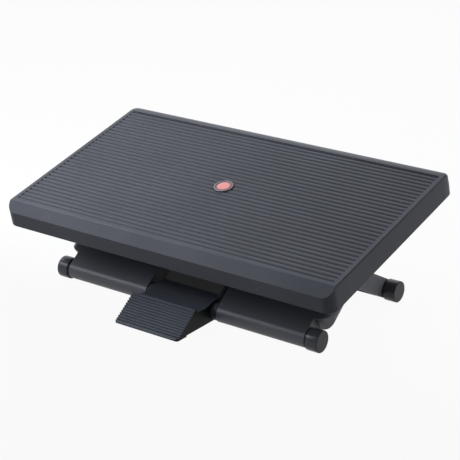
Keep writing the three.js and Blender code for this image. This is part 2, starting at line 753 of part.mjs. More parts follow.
// The front leg's plan, from its pedal cut-out along the barrel and round the shoulder to the arm
function frontLegPlan() {
  const bottom = -LEG_RADIUS - OVERRUN;
  const shoulderRadius = FRONT_ARM_OUTER - FOOT_HALF_SPAN;
  const end = FRONT_LEG_LENGTH + LEG_RADIUS + OVERRUN;
  const shoulder = arcOf({
    x: FOOT_HALF_SPAN,
    y: FOOT_RADIUS + SHOULDER_GAP + shoulderRadius,
    radius: shoulderRadius,
    from: -Math.PI / 2,
    to: 0,
    steps: 6,
  });
  return mirroredPlan([
    [CUTOUT_HALF, CUTOUT_TOP],
    [CUTOUT_HALF, bottom],
    [FOOT_HALF_SPAN, bottom],
    ...shoulder,
    [FRONT_ARM_OUTER, end],
    [FRONT_ARM_INNER, end],
    ...windowCorner(FRONT_ARM_INNER, FRONT_PANEL),
  ]);
}

function frontLeg() {
  const half = FRONT_ARM_OUTER + OVERRUN;
  const level = LEG_RADIUS + OVERRUN;
  const blank = alongX(legSide(FRONT_LEG_LENGTH), -half, half)
    .intersect(alongZ(frontLegPlan(), -level, level))
    .intersect(roundedSlab(FRONT_ARM_OUTER, FRONT_LEG_LENGTH));
  const panel = {
    x0: CUTOUT_HALF + LEG_WALL,
    x1: FOOT_HALF_SPAN - LEG_WALL,
    y0: TUBE_RADIUS + LEG_WALL * 2,
    y1: FRONT_PANEL - LEG_WALL,
    top: LEG_RADIUS - LEG_WALL,
  };
  const arm = {
    x0: FRONT_ARM_INNER + LEG_WALL,
    x1: FRONT_ARM_OUTER - LEG_RADIUS / 2,
    y0: FOOT_RADIUS + SHOULDER_GAP + FRONT_ARM_OUTER - FOOT_HALF_SPAN,
    y1: FRONT_LEG_LENGTH - LEG_RADIUS - LEG_WALL,
    top: LEG_RADIUS - LEG_WALL * 1.5,
  };
  const pockets = [...splitAcross(panel, 3), ...splitAlong(arm, 3)].flatMap(pocketPair);
  const bores = [...hubBores(FRONT_ARM_INNER, half, FRONT_LEG_LENGTH), tubeBore(FOOT_HALF_SPAN)];
  return cut(blank, [...pockets, ...bores]);
}

// The rear leg's plan: a panel at the foot with a window above it between two arms
function rearLegPlan() {
  const end = REAR_LEG_LENGTH + LEG_RADIUS + OVERRUN;
  return mirroredPlan([
    [FOOT_HALF_SPAN, -LEG_RADIUS - OVERRUN],
    [FOOT_HALF_SPAN, end],
    [REAR_ARM_INNER, end],
    ...windowCorner(REAR_ARM_INNER, REAR_PANEL),
  ]);
}

function rearLeg() {
  const half = FOOT_HALF_SPAN + OVERRUN;
  const level = LEG_RADIUS + OVERRUN;
  const blank = alongX(legSide(REAR_LEG_LENGTH), -half, half)
    .intersect(alongZ(rearLegPlan(), -level, level));
  const top = LEG_RADIUS - LEG_WALL;
  const panel = {
    x0: STIFFENER / 2,
    x1: FOOT_HALF_SPAN - LEG_WALL,
    y0: TUBE_RADIUS + LEG_WALL * 2,
    y1: REAR_PANEL - LEG_WALL,
    top,
  };
  const arm = {
    x0: REAR_ARM_INNER + LEG_WALL,
    x1: FOOT_HALF_SPAN - LEG_WALL,
    y0: REAR_PANEL + LEG_WALL,
    y1: REAR_LEG_LENGTH - LEG_RADIUS - LEG_WALL,
    top,
  };
  const panelCells = splitAlong(panel, 2).flatMap((row) => splitAcross(row, 4));
  const pockets = [...panelCells, ...splitAlong(arm, 2)].flatMap(pocketPair);
  const bores = [...hubBores(REAR_ARM_INNER, half, REAR_LEG_LENGTH), tubeBore(FOOT_HALF_SPAN)];
  return cut(blank, [...pockets, ...bores]);
}

// The bores that the shaft drives, at the upper ends of both arms
function hubBores(armInner, armEnd, length) {
  return [
    drivenBore(armInner - OVERRUN, armEnd).translate([0, length, 0]),
    drivenBore(-armEnd, OVERRUN - armInner).translate([0, length, 0]),
  ];
}

// The bore along a foot for its steel tube
function tubeBore(halfSpan) {
  const sides = 24;
  return rodX(TUBE_RADIUS + SEAT, -halfSpan - OVERRUN, halfSpan + OVERRUN, sides);
}

// A slab with full round side edges, to round the outer edges of the arms
function roundedSlab(halfWidth, length) {
  const shape = new THREE.Shape();
  shape.absarc(0, halfWidth - LEG_RADIUS, LEG_RADIUS, 0, Math.PI, false);
  shape.absarc(0, LEG_RADIUS - halfWidth, LEG_RADIUS, Math.PI, 2 * Math.PI, false);
  return alongY(shape, -LEG_RADIUS - OVERRUN, length + LEG_RADIUS + OVERRUN);
}

// A pocket split into several across X or along Y, with a rib between each two
function splitAcross(pocket, count) {
  const pitch = (pocket.x1 - pocket.x0 + STIFFENER) / count;
  return Array.from({ length: count }, (_, i) => {
    const x0 = pocket.x0 + i * pitch;
    return { ...pocket, x0, x1: x0 + pitch - STIFFENER };
  });
}

function splitAlong(pocket, count) {
  const pitch = (pocket.y1 - pocket.y0 + STIFFENER) / count;
  return Array.from({ length: count }, (_, i) => {
    const y0 = pocket.y0 + i * pitch;
    return { ...pocket, y0, y1: y0 + pitch - STIFFENER };
  });
}

// A pocket and its mirror image, open at the leg's underside
function pocketPair({ x0, x1, y0, y1, top }) {
  const bottom = -LEG_RADIUS - OVERRUN;
  return [box([x0, y0, bottom], [x1, y1, top]), box([-x1, y0, bottom], [-x0, y1, top])];
}

function footTube() {
  const sides = 24;
  const end = FOOT_HALF_SPAN + CAP_GAP + CAP_SOCKET - SEAT;
  const bore = TUBE_RADIUS - TUBE_WALL;
  return turned([[bore, -end], [TUBE_RADIUS, -end], [TUBE_RADIUS, end], [bore, end], [bore, -end]], sides);
}

// Foot cap for the +X end: a neck against the leg, a softened outer edge and a socket for the tube
function footCap() {
  const socketRadius = TUBE_RADIUS + SEAT;
  const neckRadius = FOOT_RADIUS - CAP_NECK_STEP;
  const inner = FOOT_HALF_SPAN + CAP_GAP;
  const outer = inner + FOOT_LENGTH;
  return turned(
    [
      [0, outer],
      [FOOT_RADIUS - CAP_SOFTENING, outer],
      [FOOT_RADIUS, outer - CAP_SOFTENING],
      [FOOT_RADIUS, inner + CAP_NECK],
      [neckRadius, inner + CAP_NECK],
      [neckRadius, inner],
      [socketRadius, inner],
      [socketRadius, inner + CAP_SOCKET],
      [0, inner + CAP_SOCKET],
    ],
    FOOT_SIDES,
  );
}

// The saddle-shaped top behind the pedal's ribbed face: shares of the ridge's reach and of its lift
function pedalTop() {
  const shares = [
    [0.92, 0.34],
    [0.82, 0.07],
    [0.5, 0],
    [0.26, 0.24],
    [0.09, 0.57],
    [-0.13, 0.6],
  ];
  return shares.map(([back, up]) => [-back * PEDAL_RIDGE_REACH, PEDAL_DISH + up * PEDAL_RIDGE_LIFT]);
}

// The body in (y, z), from under the ridge over the dish to the rear lip and round the hub
function pedalBody() {
  const frontShare = 0.86;
  const front = -frontShare * PEDAL_TOE_REACH;
  return shapeOf([
    [PEDAL_RIDGE.x, PEDAL_RIDGE.y - PEDAL_WALL],
    ...pedalTop(),
    [PEDAL_LIP.x, PEDAL_LIP.y],
    [PEDAL_LIP.x, PEDAL_LIP.y - PEDAL_WALL],
    ...arcOf({ radius: PEDAL_HUB_RADIUS, from: 0, to: -Math.PI / 2, steps: 6 }),
    [front, PEDAL_BOTTOM],
    [front, PEDAL_TOE.y + PEDAL_WALL],
  ]);
}

// The ribbed plate in (y, z): wider than the body, with a back edge that follows shares of the toe and ridge
function pedalPlate() {
  const footShare = 0.76;
  const backShares = [
    [0.6, 0.32],
    [0.68, -0.05],
  ];
  const back = backShares.map(([reach, rise]) => [-reach * PEDAL_TOE_REACH, rise * PEDAL_RIDGE.y]);
  return shapeOf([
    [PEDAL_RIDGE.x, PEDAL_RIDGE.y],
    [PEDAL_RIDGE.x + PEDAL_RIDGE_ROUNDING, PEDAL_RIDGE.y - PEDAL_RIDGE_ROUNDING / 3],
    pedalTop()[0],
    ...back,
    [-footShare * PEDAL_TOE_REACH, PEDAL_BOTTOM],
    [PEDAL_TOE.x + PEDAL_TOE_ROUNDING, PEDAL_BOTTOM],
    [PEDAL_TOE.x + PEDAL_TOE_ROUNDING / 5, PEDAL_BOTTOM + PEDAL_TOE_ROUNDING / 4],
    [PEDAL_TOE.x, PEDAL_TOE.y + PEDAL_TOE_ROUNDING / 2],
  ]);
}

// The bay under the pedal in (y, z), its front wall parallel to the ribbed face
function pedalBay() {
  const along = PEDAL_RIDGE.clone().sub(PEDAL_TOE).normalize();
  const wall = PEDAL_WALL + PEDAL_GROOVE_DEPTH;
  const inset = PEDAL_TOE.clone().add(new THREE.Vector2(along.y, -along.x).multiplyScalar(wall));
  const frontAt = (z) => inset.x + ((z - inset.y) * along.x) / along.y;
  const top = PEDAL_DISH - PEDAL_WALL;
  const rear = -TUBE_RADIUS - PEDAL_WALL * 2;
  const below = PEDAL_BOTTOM - OVERRUN;
  return shapeOf([
    [frontAt(top), top],
    [rear, top],
    [rear, below],
    [frontAt(PEDAL_BOTTOM), below],
    [frontAt(PEDAL_BOTTOM), PEDAL_BOTTOM],
  ]);
}

// The plate's plan in (x, y), with round corners at the toe
function pedalPlan() {
  const half = PEDAL_WIDTH / 2;
  const middle = half - PEDAL_CORNER_RADIUS;
  const corner = { y: PEDAL_CORNER_RADIUS - PEDAL_TOE_REACH, radius: PEDAL_CORNER_RADIUS, steps: 4 };
  return shapeOf([
    [half, 0],
    [-half, 0],
    ...arcOf({ ...corner, x: -middle, from: Math.PI, to: Math.PI * 1.5 }),
    ...arcOf({ ...corner, x: middle, from: Math.PI * 1.5, to: Math.PI * 2 }),
  ]);
}

function pedalShell() {
  const hubSides = 24;
  const half = PEDAL_WIDTH / 2;
  const hubHalf = CUTOUT_HALF - PEDAL_HUB_GAP;
  const plan = alongZ(pedalPlan(), PEDAL_BOTTOM - OVERRUN, PEDAL_RIDGE.y + OVERRUN);
  const whole = join([
    alongX(pedalBody(), -PEDAL_BODY_HALF, PEDAL_BODY_HALF),
    alongX(pedalPlate(), -half, half).intersect(plan),
    rodX(PEDAL_HUB_RADIUS, -hubHalf, hubHalf, hubSides),
    alongX(pedalCrank(), PEDAL_BODY_HALF - CRANK_WIDTH, PEDAL_BODY_HALF),
  ]);
  const inner = PEDAL_BODY_HALF - PEDAL_WALL;
  const bays = splitAcross({ x0: -inner, x1: inner }, 3).map(({ x0, x1 }) => alongX(pedalBay(), x0, x1));
  return cut(whole, [...bays, ...pedalSpringBay(), tubeBore(CUTOUT_HALF), pedalGrooves()]);
}

// The crank that runs back into the leg's cut-out and ends in a round tip over the release cable
function pedalCrank() {
  const rootShare = 0.6;
  const root = PEDAL_HUB_RADIUS * rootShare;
  const quarter = Math.PI / 2;
  const tip = arcOf({ x: CRANK_REACH, radius: CRANK_TIP_RADIUS, from: -quarter, to: quarter, steps: 6 });
  const points = [[0, -root], ...tip, [0, root]].map(([a, b]) => new THREE.Vector2(a, b));
  const hub = new THREE.Vector2();
  return new THREE.Shape(points.map((point) => point.rotateAround(hub, FRONT_LEG_SLOPE)));
}

// The bay round the tube at the pedal's middle, open below, where its spring sits
function pedalSpringBay() {
  const sides = 20;
  const half = PEDAL_SPRING_HALF + PEDAL_SPRING_ROOM;
  const radius = PEDAL_SPRING_RADIUS + PEDAL_SPRING_WIRE + PEDAL_SPRING_ROOM;
  return [rodX(radius, -half, half, sides), box([-half, -radius, PEDAL_BOTTOM - OVERRUN], [half, radius, 0])];
}

function pedalGrooves() {
  const face = PEDAL_RIDGE.clone().sub(PEDAL_TOE);
  const along = face.clone().normalize();
  const half = PEDAL_WIDTH / 2 + OVERRUN;
  const outline = combOutline({
    start: PEDAL_TOE.clone().addScaledVector(along, PEDAL_TREAD_MARGIN),
    along,
    out: new THREE.Vector2(-along.y, along.x),
    length: face.length() - PEDAL_TREAD_MARGIN - PEDAL_RIDGE_MARGIN,
    grooves: PEDAL_GROOVES,
    width: PEDAL_GROOVE_WIDTH,
    floorShare: 0.5,
    depth: PEDAL_GROOVE_DEPTH,
    crown: PEDAL_TREAD_DROP,
  });
  return alongX(outline, -half, half);
}

function pedalSpring() {
  return coil({
    radius: PEDAL_SPRING_RADIUS,
    wire: PEDAL_SPRING_WIRE,
    pitch: PEDAL_SPRING_PITCH,
    from: PEDAL_SPRING_WIRE - PEDAL_SPRING_HALF,
    to: PEDAL_SPRING_HALF - PEDAL_SPRING_WIRE,
  });
}

// Release cable: one held run along the front leg and one under the platform
function cableAlong(points) {
  const sides = 8;
  const steps = 44;
  const circle = arcOf({ radius: CABLE_RADIUS, from: 0, to: 2 * Math.PI, steps: sides }).slice(1);
  const path = new THREE.CatmullRomCurve3(points, false, "centripetal");
  return solid(new THREE.ExtrudeGeometry(shapeOf(circle), { steps, extrudePath: path }));
}

// In the front leg's frame: from under the crank's tip, along the panel and up the right arm
function legCable() {
  const crankX = PEDAL_BODY_HALF - CRANK_WIDTH / 2;
  const armX = FRONT_ARM_INNER + FRONT_ARM_WIDTH / 2;
  const panelY = FRONT_PANEL - LEG_WALL;
  const top = -CRANK_TIP_RADIUS - SEAT;
  const level = -CABLE_DROP;
  const low = level - CABLE_RADIUS / 2;
  return cableAlong([
    new THREE.Vector3(crankX, CRANK_REACH, top),
    new THREE.Vector3(crankX, CRANK_REACH, top - CABLE_BEND / 2),
    new THREE.Vector3(crankX + CABLE_RADIUS, CRANK_REACH + CABLE_RADIUS, low),
    new THREE.Vector3(crankX + CABLE_BEND / 2, panelY - CABLE_BEND / 2, low),
    new THREE.Vector3(crankX + CABLE_BEND * 2, panelY, level),
    new THREE.Vector3(armX - CABLE_BEND * 2, panelY, level),
    new THREE.Vector3(armX - CABLE_BEND / 4, panelY + CABLE_BEND / 4, level),
    new THREE.Vector3(armX, panelY + CABLE_BEND * 2, level),
    new THREE.Vector3(armX, FRONT_LEG_LENGTH - CABLE_BEND * 2, level),
    new THREE.Vector3(armX, FRONT_LEG_LENGTH - CABLE_BEND, level),
    new THREE.Vector3(armX - CABLE_BEND / 4, FRONT_LEG_LENGTH, level),
    new THREE.Vector3(FRONT_ARM_INNER - CABLE_RADIUS / 2, FRONT_LEG_LENGTH, level),
  ]);
}

// In the platform's frame: from beside the front leg's hub to the brake housing
function platformCable() {
  const startX = FRONT_ARM_INNER - CABLE_RADIUS / 2 - SEAT * 2;
  const startY = HINGE_Y + CABLE_DROP * Math.sin(FRONT_LEG_ANGLE);
  const startZ = -HINGE_DROP - CABLE_DROP * Math.cos(FRONT_LEG_ANGLE);
  const passedY = HINGE_Y - SADDLE_FLANGE;
  return cableAlong([
    new THREE.Vector3(startX, startY, startZ),
    new THREE.Vector3(startX - SADDLE_WIDTH, startY, startZ),
    new THREE.Vector3(FRONT_SADDLE_X - SADDLE_WIDTH, passedY, startZ),
    new THREE.Vector3(FRONT_SADDLE_X / 2, passedY / 2, (startZ - HINGE_DROP) / 2),
    new THREE.Vector3(HOUSING_FLANGE + CABLE_BEND, 0, -HINGE_DROP),
    new THREE.Vector3(HOUSING_HALF_WIDTH + SEAT, 0, -HINGE_DROP),
  ]);
}

// A group at a place in another one, turned about its own X or Z
function groupIn(parent, { x = 0, y = 0, z = 0, turnX = 0, turnZ = 0 }) {
  const group = new THREE.Group();
  group.position.set(x, y, z);
  group.rotation.set(turnX, 0, turnZ);
  parent.add(group);
  return group;
}

function addFoot(foot, slope, name) {
  const level = groupIn(foot, { turnX: -slope });
  level.add(part(name + "_foot_tube", footTube(), STEEL));
  level.add(part(name + "_foot_cap_right", footCap(), CAP_PLASTIC));
  groupIn(level, { turnZ: Math.PI }).add(part(name + "_foot_cap_left", footCap(), CAP_PLASTIC));
}

function addShaft(hub, name, legHalf) {
  const ringStart = legHalf + SEAT;
  const shaftEnd = ringStart + RING_WIDTH + SHAFT_MARGIN;
  hub.add(part(name + "_shaft", shaft(shaftEnd), STEEL));
  hub.add(part(name + "_brake_drum", brakeDrum(), DARK_STEEL));
  hub.add(part(name + "_ring_right", retainingRing(ringStart), DARK_STEEL));
  hub.add(part(name + "_ring_left", retainingRing(-ringStart - RING_WIDTH), DARK_STEEL));
}

// Assembly: every group sits in the one before it, as the pieces hang on each other
const footrest = new THREE.Group();
const platform = groupIn(footrest, { z: CENTRE_HEIGHT, turnX: TILT });

platform.add(part("platform_tray", platformTray(), CHARCOAL));
platform.add(part("badge_ring", badgeRing(), GREY_PLASTIC));
platform.add(part("badge_disc", badgeDisc(), RUBBER_RED));
platform.add(part("brake_housing", brakeHousing(), DARK_STEEL));
platform.add(part("platform_release_cable", platformCable(), CABLE_SHEATH));

for (const { name, x, y } of saddlePlaces()) {
  groupIn(platform, { x, y, z: -HINGE_DROP }).add(part(name, saddle(), LEG_PLASTIC));
}
for (const { name, x, y } of screwPlaces()) {
  groupIn(platform, { x, y }).add(part(name, screw(), STEEL));
}
for (const end of ["front", "rear"]) {
  const brake = groupIn(platform, { z: -HINGE_DROP, turnZ: end === "front" ? 0 : Math.PI });
  brake.add(part(end + "_brake_shoe", brakeShoe(), SHOE_LINING));
  groupIn(brake, { turnZ: Math.PI / 2 }).add(part(end + "_brake_spring", brakeSpring(), STEEL));
}

// The front leg turns on the rear shaft
const frontHub = groupIn(platform, { y: HINGE_Y, z: -HINGE_DROP, turnX: FRONT_LEG_ANGLE });
const frontFoot = groupIn(frontHub, { y: -FRONT_LEG_LENGTH });
frontFoot.add(part("front_leg", frontLeg(), LEG_PLASTIC));
frontFoot.add(part("leg_release_cable", legCable(), CABLE_SHEATH));
addShaft(frontHub, "rear", FRONT_ARM_OUTER);
addFoot(frontFoot, FRONT_LEG_SLOPE, "front");

// The rear leg turns on the front shaft
const rearHub = groupIn(groupIn(platform, { y: -HINGE_Y, z: -HINGE_DROP, turnX: -REAR_LEG_ANGLE }), {
  turnZ: Math.PI,
});
const rearFoot = groupIn(rearHub, { y: -REAR_LEG_LENGTH });
rearFoot.add(part("rear_leg", rearLeg(), LEG_PLASTIC));
addShaft(rearHub, "front", FOOT_HALF_SPAN);
addFoot(rearFoot, REAR_LEG_SLOPE, "rear");

// The pedal turns on the front foot tube
const pedal = groupIn(frontFoot, { turnX: -FRONT_LEG_SLOPE });
pedal.add(part("pedal", pedalShell(), PEDAL_PLASTIC));
pedal.add(part("pedal_spring", pedalSpring(), STEEL));

// The footprint's middle becomes the origin
footrest.updateMatrixWorld(true);
const footprint = new THREE.Box3().setFromObject(footrest, true);
platform.position.x -= (footprint.min.x + footprint.max.x) / 2;
platform.position.y -= (footprint.min.y + footprint.max.y) / 2;

export default footrest;
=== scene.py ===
import math
import bmesh
import bpy
from mathutils import Matrix, Vector


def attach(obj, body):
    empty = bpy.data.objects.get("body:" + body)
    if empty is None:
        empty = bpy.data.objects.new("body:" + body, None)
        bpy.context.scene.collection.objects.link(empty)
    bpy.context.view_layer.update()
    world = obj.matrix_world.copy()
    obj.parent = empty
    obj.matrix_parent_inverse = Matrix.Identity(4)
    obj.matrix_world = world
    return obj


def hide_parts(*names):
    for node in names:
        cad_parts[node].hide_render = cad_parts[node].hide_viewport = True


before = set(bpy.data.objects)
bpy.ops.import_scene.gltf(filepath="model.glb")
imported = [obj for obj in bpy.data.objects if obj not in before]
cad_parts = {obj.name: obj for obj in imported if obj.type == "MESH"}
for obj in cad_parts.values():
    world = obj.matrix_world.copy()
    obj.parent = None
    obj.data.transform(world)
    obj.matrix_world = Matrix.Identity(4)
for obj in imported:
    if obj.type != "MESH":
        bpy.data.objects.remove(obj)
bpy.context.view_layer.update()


# Camera. A long lens on a tripod in front of the right end, looking a little down.

camera_azimuth = math.radians(35.709)
camera_elevation = math.radians(21.09)
camera = bpy.data.objects.new("camera", bpy.data.cameras.new("camera"))
camera.data.sensor_width = 36
camera.data.lens = 117.3
camera.data.clip_end = 100
camera.location = (1.1851, -1.6232, 0.8739)
camera.rotation_euler = (math.pi / 2 - camera_elevation, 0, camera_azimuth)
bpy.context.collection.objects.link(camera)
bpy.context.scene.camera = camera
bpy.context.scene.view_settings.view_transform = "Standard"


# Studio. A floor of matt card that looks white, two softboxes on the left and one behind, and a
# white tent, brighter on the left and behind than in front, and greyer overhead.

def linear(hex_colour):
    """An sRGB hex colour as the linear red, green, blue and alpha of a shader socket."""
    shares = [int(hex_colour[i : i + 2], 16) / 255 for i in (1, 3, 5)]
    return [s / 12.92 if s <= 0.04045 else ((s + 0.055) / 1.055) ** 2.4 for s in shares] + [1]


def add(tree, kind, settings=None, links=None):
    """Adds one shader node, sets its sockets or properties, and joins other nodes' outputs to it."""
    node = tree.nodes.new(kind)
    for name, value in (settings or {}).items():
        if isinstance(name, int) or name in node.inputs:
            node.inputs[name].default_value = value
        else:
            setattr(node, name, value)
    for name, output in (links or {}).items():
        tree.links.new(output, node.inputs[name])
    return node


def unpainted(name):
    """A new material without any nodes, and its tree."""
    material = bpy.data.materials.new(name)
    material.use_nodes = True
    material.node_tree.nodes.clear()
    return material, material.node_tree


floor_size = 60
floor_gap = 0.0002
floor_mesh = bpy.data.meshes.new("floor")
corners = [(x * floor_size / 2, y * floor_size / 2, 0)
           for x, y in ((-1, -1), (1, -1), (1, 1), (-1, 1))]
floor_mesh.from_pydata(corners, [], [(0, 1, 2, 3)])
floor = bpy.data.objects.new("floor", floor_mesh)
floor.location.z = -floor_gap
bpy.context.collection.objects.link(floor)

# The card is plain white to the camera, in a mirror and through glass, but for a small share that
# keeps the footrest's shadow.
card, card_tree = unpainted("matt_card")
looks = add(card_tree, "ShaderNodeLightPath").outputs
clear_look = add(card_tree, "ShaderNodeMath", {"operation": "MAXIMUM"},
                 {0: looks["Is Camera Ray"], 1: looks["Is Glossy Ray"]})
clear_look = add(card_tree, "ShaderNodeMath", {"operation": "MAXIMUM"},
                 {0: clear_look.outputs[0], 1: looks["Is Transmission Ray"]})

# A soft dark patch stands in for the deep shade under the middle of the footrest.
patch_middle = (-0.05, 0.015, 0)
patch_reach = (0.16, 0.06, 1)
patch_light = 0.015
card_white = 0.94
card_place = add(card_tree, "ShaderNodeTexCoord").outputs["Object"]
patch = add(card_tree, "ShaderNodeVectorMath", {"operation": "SUBTRACT", 1: patch_middle},
            {0: card_place})
patch = add(card_tree, "ShaderNodeVectorMath", {"operation": "DIVIDE", 1: patch_reach}, {0: patch.outputs[0]})
patch = add(card_tree, "ShaderNodeVectorMath", {"operation": "LENGTH"}, {0: patch.outputs[0]})
openness = add(card_tree, "ShaderNodeMapRange",
               {"interpolation_type": "SMOOTHSTEP", "From Min": 0.55, "From Max": 1.5, "To Min": patch_light},
               {"Value": patch.outputs["Value"]})
whiteness = add(card_tree, "ShaderNodeMath", {"operation": "MULTIPLY"},
                {0: clear_look.outputs[0], 1: openness.outputs[0]})
whiteness = add(card_tree, "ShaderNodeMath", {"operation": "MULTIPLY", 1: card_white},
                {0: whiteness.outputs[0]})

# As it throws light, the card carries painted shade: a mid grey in front, so that little light reaches the
# skirt, and pale behind.
card_at = add(card_tree, "ShaderNodeSeparateXYZ", links={"Vector": card_place}).outputs
behind = add(card_tree, "ShaderNodeMapRange", {"From Min": -0.15, "From Max": 0.05}, {"Value": card_at["Y"]})
pale_card = add(card_tree, "ShaderNodeMix",
                {"data_type": "RGBA", 6: linear("#6a6a6c"), 7: linear("#dededf")}, {0: behind.outputs[0]})
tone = add(card_tree, "ShaderNodeMix", {"data_type": "RGBA", 6: linear("#33373d")},
           {0: openness.outputs[0], 7: pale_card.outputs[2]})
grey_card = add(card_tree, "ShaderNodeBsdfDiffuse", links={"Color": tone.outputs[2]})
white_card = add(card_tree, "ShaderNodeEmission", {"Color": linear("#ffffff"), "Strength": 1.0})
card_face = add(card_tree, "ShaderNodeMixShader", links={
    0: whiteness.outputs[0], 1: grey_card.outputs[0], 2: white_card.outputs[0]})
add(card_tree, "ShaderNodeOutputMaterial", links={"Surface": card_face.outputs[0]})
floor_mesh.materials.append(card)

lit_middle = Vector((-0.1, 0, 0.12))
for name, place, size, power in (
        ("key_softbox", (-0.8, -0.75, 0.8), (0.6, 0.6), 10.0),
        ("left_softbox", (-0.75, -0.1, 0.9), (0.45, 0.45), 4.5),
        ("back_softbox", (-0.95, 0.95, 1.3), (1.3, 0.9), 4.0)):
    box = bpy.data.objects.new(name, bpy.data.lights.new(name, "AREA"))
    box.data.shape = "RECTANGLE"
    box.data.size, box.data.size_y = size
    box.data.energy = power
    box.data.color = linear("#eef3ff")[:3]
    box.location = place
    box.rotation_euler = (lit_middle - Vector(place)).to_track_quat("-Z", "Y").to_euler()
    bpy.context.collection.objects.link(box)

tent = bpy.data.worlds.new("tent")
tent.use_nodes = True
tent.node_tree.nodes.clear()
direction = add(tent.node_tree, "ShaderNodeTexCoord").outputs["Generated"]
part_of = add(tent.node_tree, "ShaderNodeSeparateXYZ", links={"Vector": direction}).outputs
brightness = None
for axis, start, end, low, high in (
        ("Z", 0.02, 0.6, 0.95, 0.5),  # from the floor upwards
        ("X", -1, 1, 1.2, 0.9),  # from left to right
        ("Y", -1, 1, 0.3, 1.7)):  # from front to back
    share = add(tent.node_tree, "ShaderNodeMapRange",
                {"From Min": start, "From Max": end, "To Min": low, "To Max": high},
                {"Value": part_of[axis]}).outputs[0]
    brightness = share if brightness is None else add(
        tent.node_tree, "ShaderNodeMath", {"operation": "MULTIPLY"}, {0: brightness, 1: share}).outputs[0]
sky = add(tent.node_tree, "ShaderNodeBackground", {"Color": linear("#f7f9ff")}, {"Strength": brightness})
add(tent.node_tree, "ShaderNodeOutputWorld", links={"Surface": sky.outputs[0]})
bpy.context.scene.world = tent


# Platform. One moulding of charcoal polypropylene, open below, with crossing ribs under the deck and
# a ribbed tread above. The spark-eroded mould leaves a fine even grain and slightly round edges.

mm = 0.001
platform_slope = 13.6452
platform_tilt = math.radians(platform_slope)
platform_middle = (0, 9.8333 * mm, 162.4984 * mm)
platform_place = Matrix.Translation(platform_middle) @ Matrix.Rotation(platform_tilt, 4, "X")


def moulded(name, colour, pale, ior, roughness, grain, depth, shine=0.5):
    """A moulded thermoplastic: its colour drifts a little with the flow, and grain breaks the gloss.

    grain is the size of the drawn grain, coarser than the real one (about 0.1 mm) so that it shows, and
    depth its relief. shine is how strongly the skin mirrors."""
    material, tree = unpainted(name)
    place = add(tree, "ShaderNodeTexCoord").outputs["Object"]
    flow = add(tree, "ShaderNodeTexNoise", {"Scale": 9, "Detail": 3, "Roughness": 0.5}, {"Vector": place})
    eroded = add(tree, "ShaderNodeTexNoise", {"Scale": 1 / grain, "Detail": 2, "Roughness": 0.6},
                 {"Vector": place})
    share = add(tree, "ShaderNodeMath", {"operation": "MULTIPLY"},
                {0: flow.outputs["Fac"], 1: eroded.outputs["Fac"]})
    tint = add(tree, "ShaderNodeMapRange", {"From Min": 0.15, "From Max": 0.38}, {"Value": share.outputs[0]})
    blend = add(tree, "ShaderNodeMix", {"data_type": "RGBA", 6: linear(colour), 7: linear(pale)},
                {0: tint.outputs[0]})
    gloss = add(tree, "ShaderNodeMapRange",
                {"From Min": 0.3, "From Max": 0.7, "To Min": roughness - 0.05, "To Max": roughness + 0.05},
                {"Value": eroded.outputs["Fac"]})
    relief = add(tree, "ShaderNodeBump", {"Strength": 0.6, "Distance": depth},
                 {"Height": eroded.outputs["Fac"]})
    surface = add(tree, "ShaderNodeBsdfPrincipled", {"IOR": ior, "Specular IOR Level": shine},
                  {"Base Color": blend.outputs[2], "Roughness": gloss.outputs[0], "Normal": relief.outputs[0]})
    add(tree, "ShaderNodeOutputMaterial", links={"Surface": surface.outputs[0]})
    return material


def painted_over(material, share, colour):
    """Gives a material another colour by a share from 0 to 1."""
    tree = material.node_tree
    face = next(node for node in tree.nodes if node.type == "BSDF_PRINCIPLED")
    below = face.inputs["Base Color"].links[0].from_socket
    mixed = add(tree, "ShaderNodeMix", {"data_type": "RGBA", 7: linear(colour)}, {0: share, 6: below})
    tree.links.new(mixed.outputs[2], face.inputs["Base Color"])


def eased(piece, radius, segments=2, crease=28, weighed=False):
    """Rounds a piece's sharp edges, by their weights if it has them, and shades its faces evenly."""
    rounding = piece.modifiers.new("rounding", "BEVEL")
    rounding.width = radius
    rounding.segments = segments
    rounding.limit_method = "WEIGHT" if weighed else "ANGLE"
    rounding.angle_limit = math.radians(crease)
    rounding.use_clamp_overlap = False
    piece.data.shade_smooth()
    evening = piece.modifiers.new("evening", "WEIGHTED_NORMAL")
    evening.keep_sharp = True
    evening.weight = 100


def fitted(piece, material, body, slot, *nodes):
    """Gives a piece one finish all over, stands it for its nodes and lets it ride on a body."""
    piece.data.materials.clear()
    piece.data.materials.append(material)
    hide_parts(*nodes)
    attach(piece, body)


def moulding(node, radius, segments=2, crease=28, share=None):
    """A node's own shape as a piece of its own, its flat faces made whole and its edges rounded.

    share gives, for the middle of a sharp edge, the share of the radius that the edge gets."""
    merged, flat = 0.1 * mm, math.radians(0.5)
    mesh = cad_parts[node].data.copy()
    form = bmesh.new()
    form.from_mesh(mesh)
    bmesh.ops.remove_doubles(form, verts=form.verts, dist=merged)
    bmesh.ops.dissolve_limit(form, angle_limit=flat, verts=form.verts, edges=form.edges)
    if share:
        weight = form.edges.layers.float.new("bevel_weight_edge")
        for edge in form.edges:
            if edge.calc_face_angle(0) > math.radians(crease):
                edge[weight] = share((edge.verts[0].co + edge.verts[1].co) / 2)
    form.to_mesh(mesh)
    form.free()
    piece = bpy.data.objects.new(node + "_moulding", mesh)
    bpy.context.collection.objects.link(piece)
    eased(piece, radius, segments, crease, share is not None)
    return piece


# Charcoal polypropylene off a spark-eroded mould: a soft satin with no clear reflections.
# The real grain, about 0.1 mm, is drawn at 0.9 mm, so that it shows.
platform_plastic = moulded("polypropylene_charcoal", "#3b3c42", "#46474d", ior=1.49, roughness=0.4,
                           grain=0.9 * mm, depth=0.1 * mm, shine=0.17)
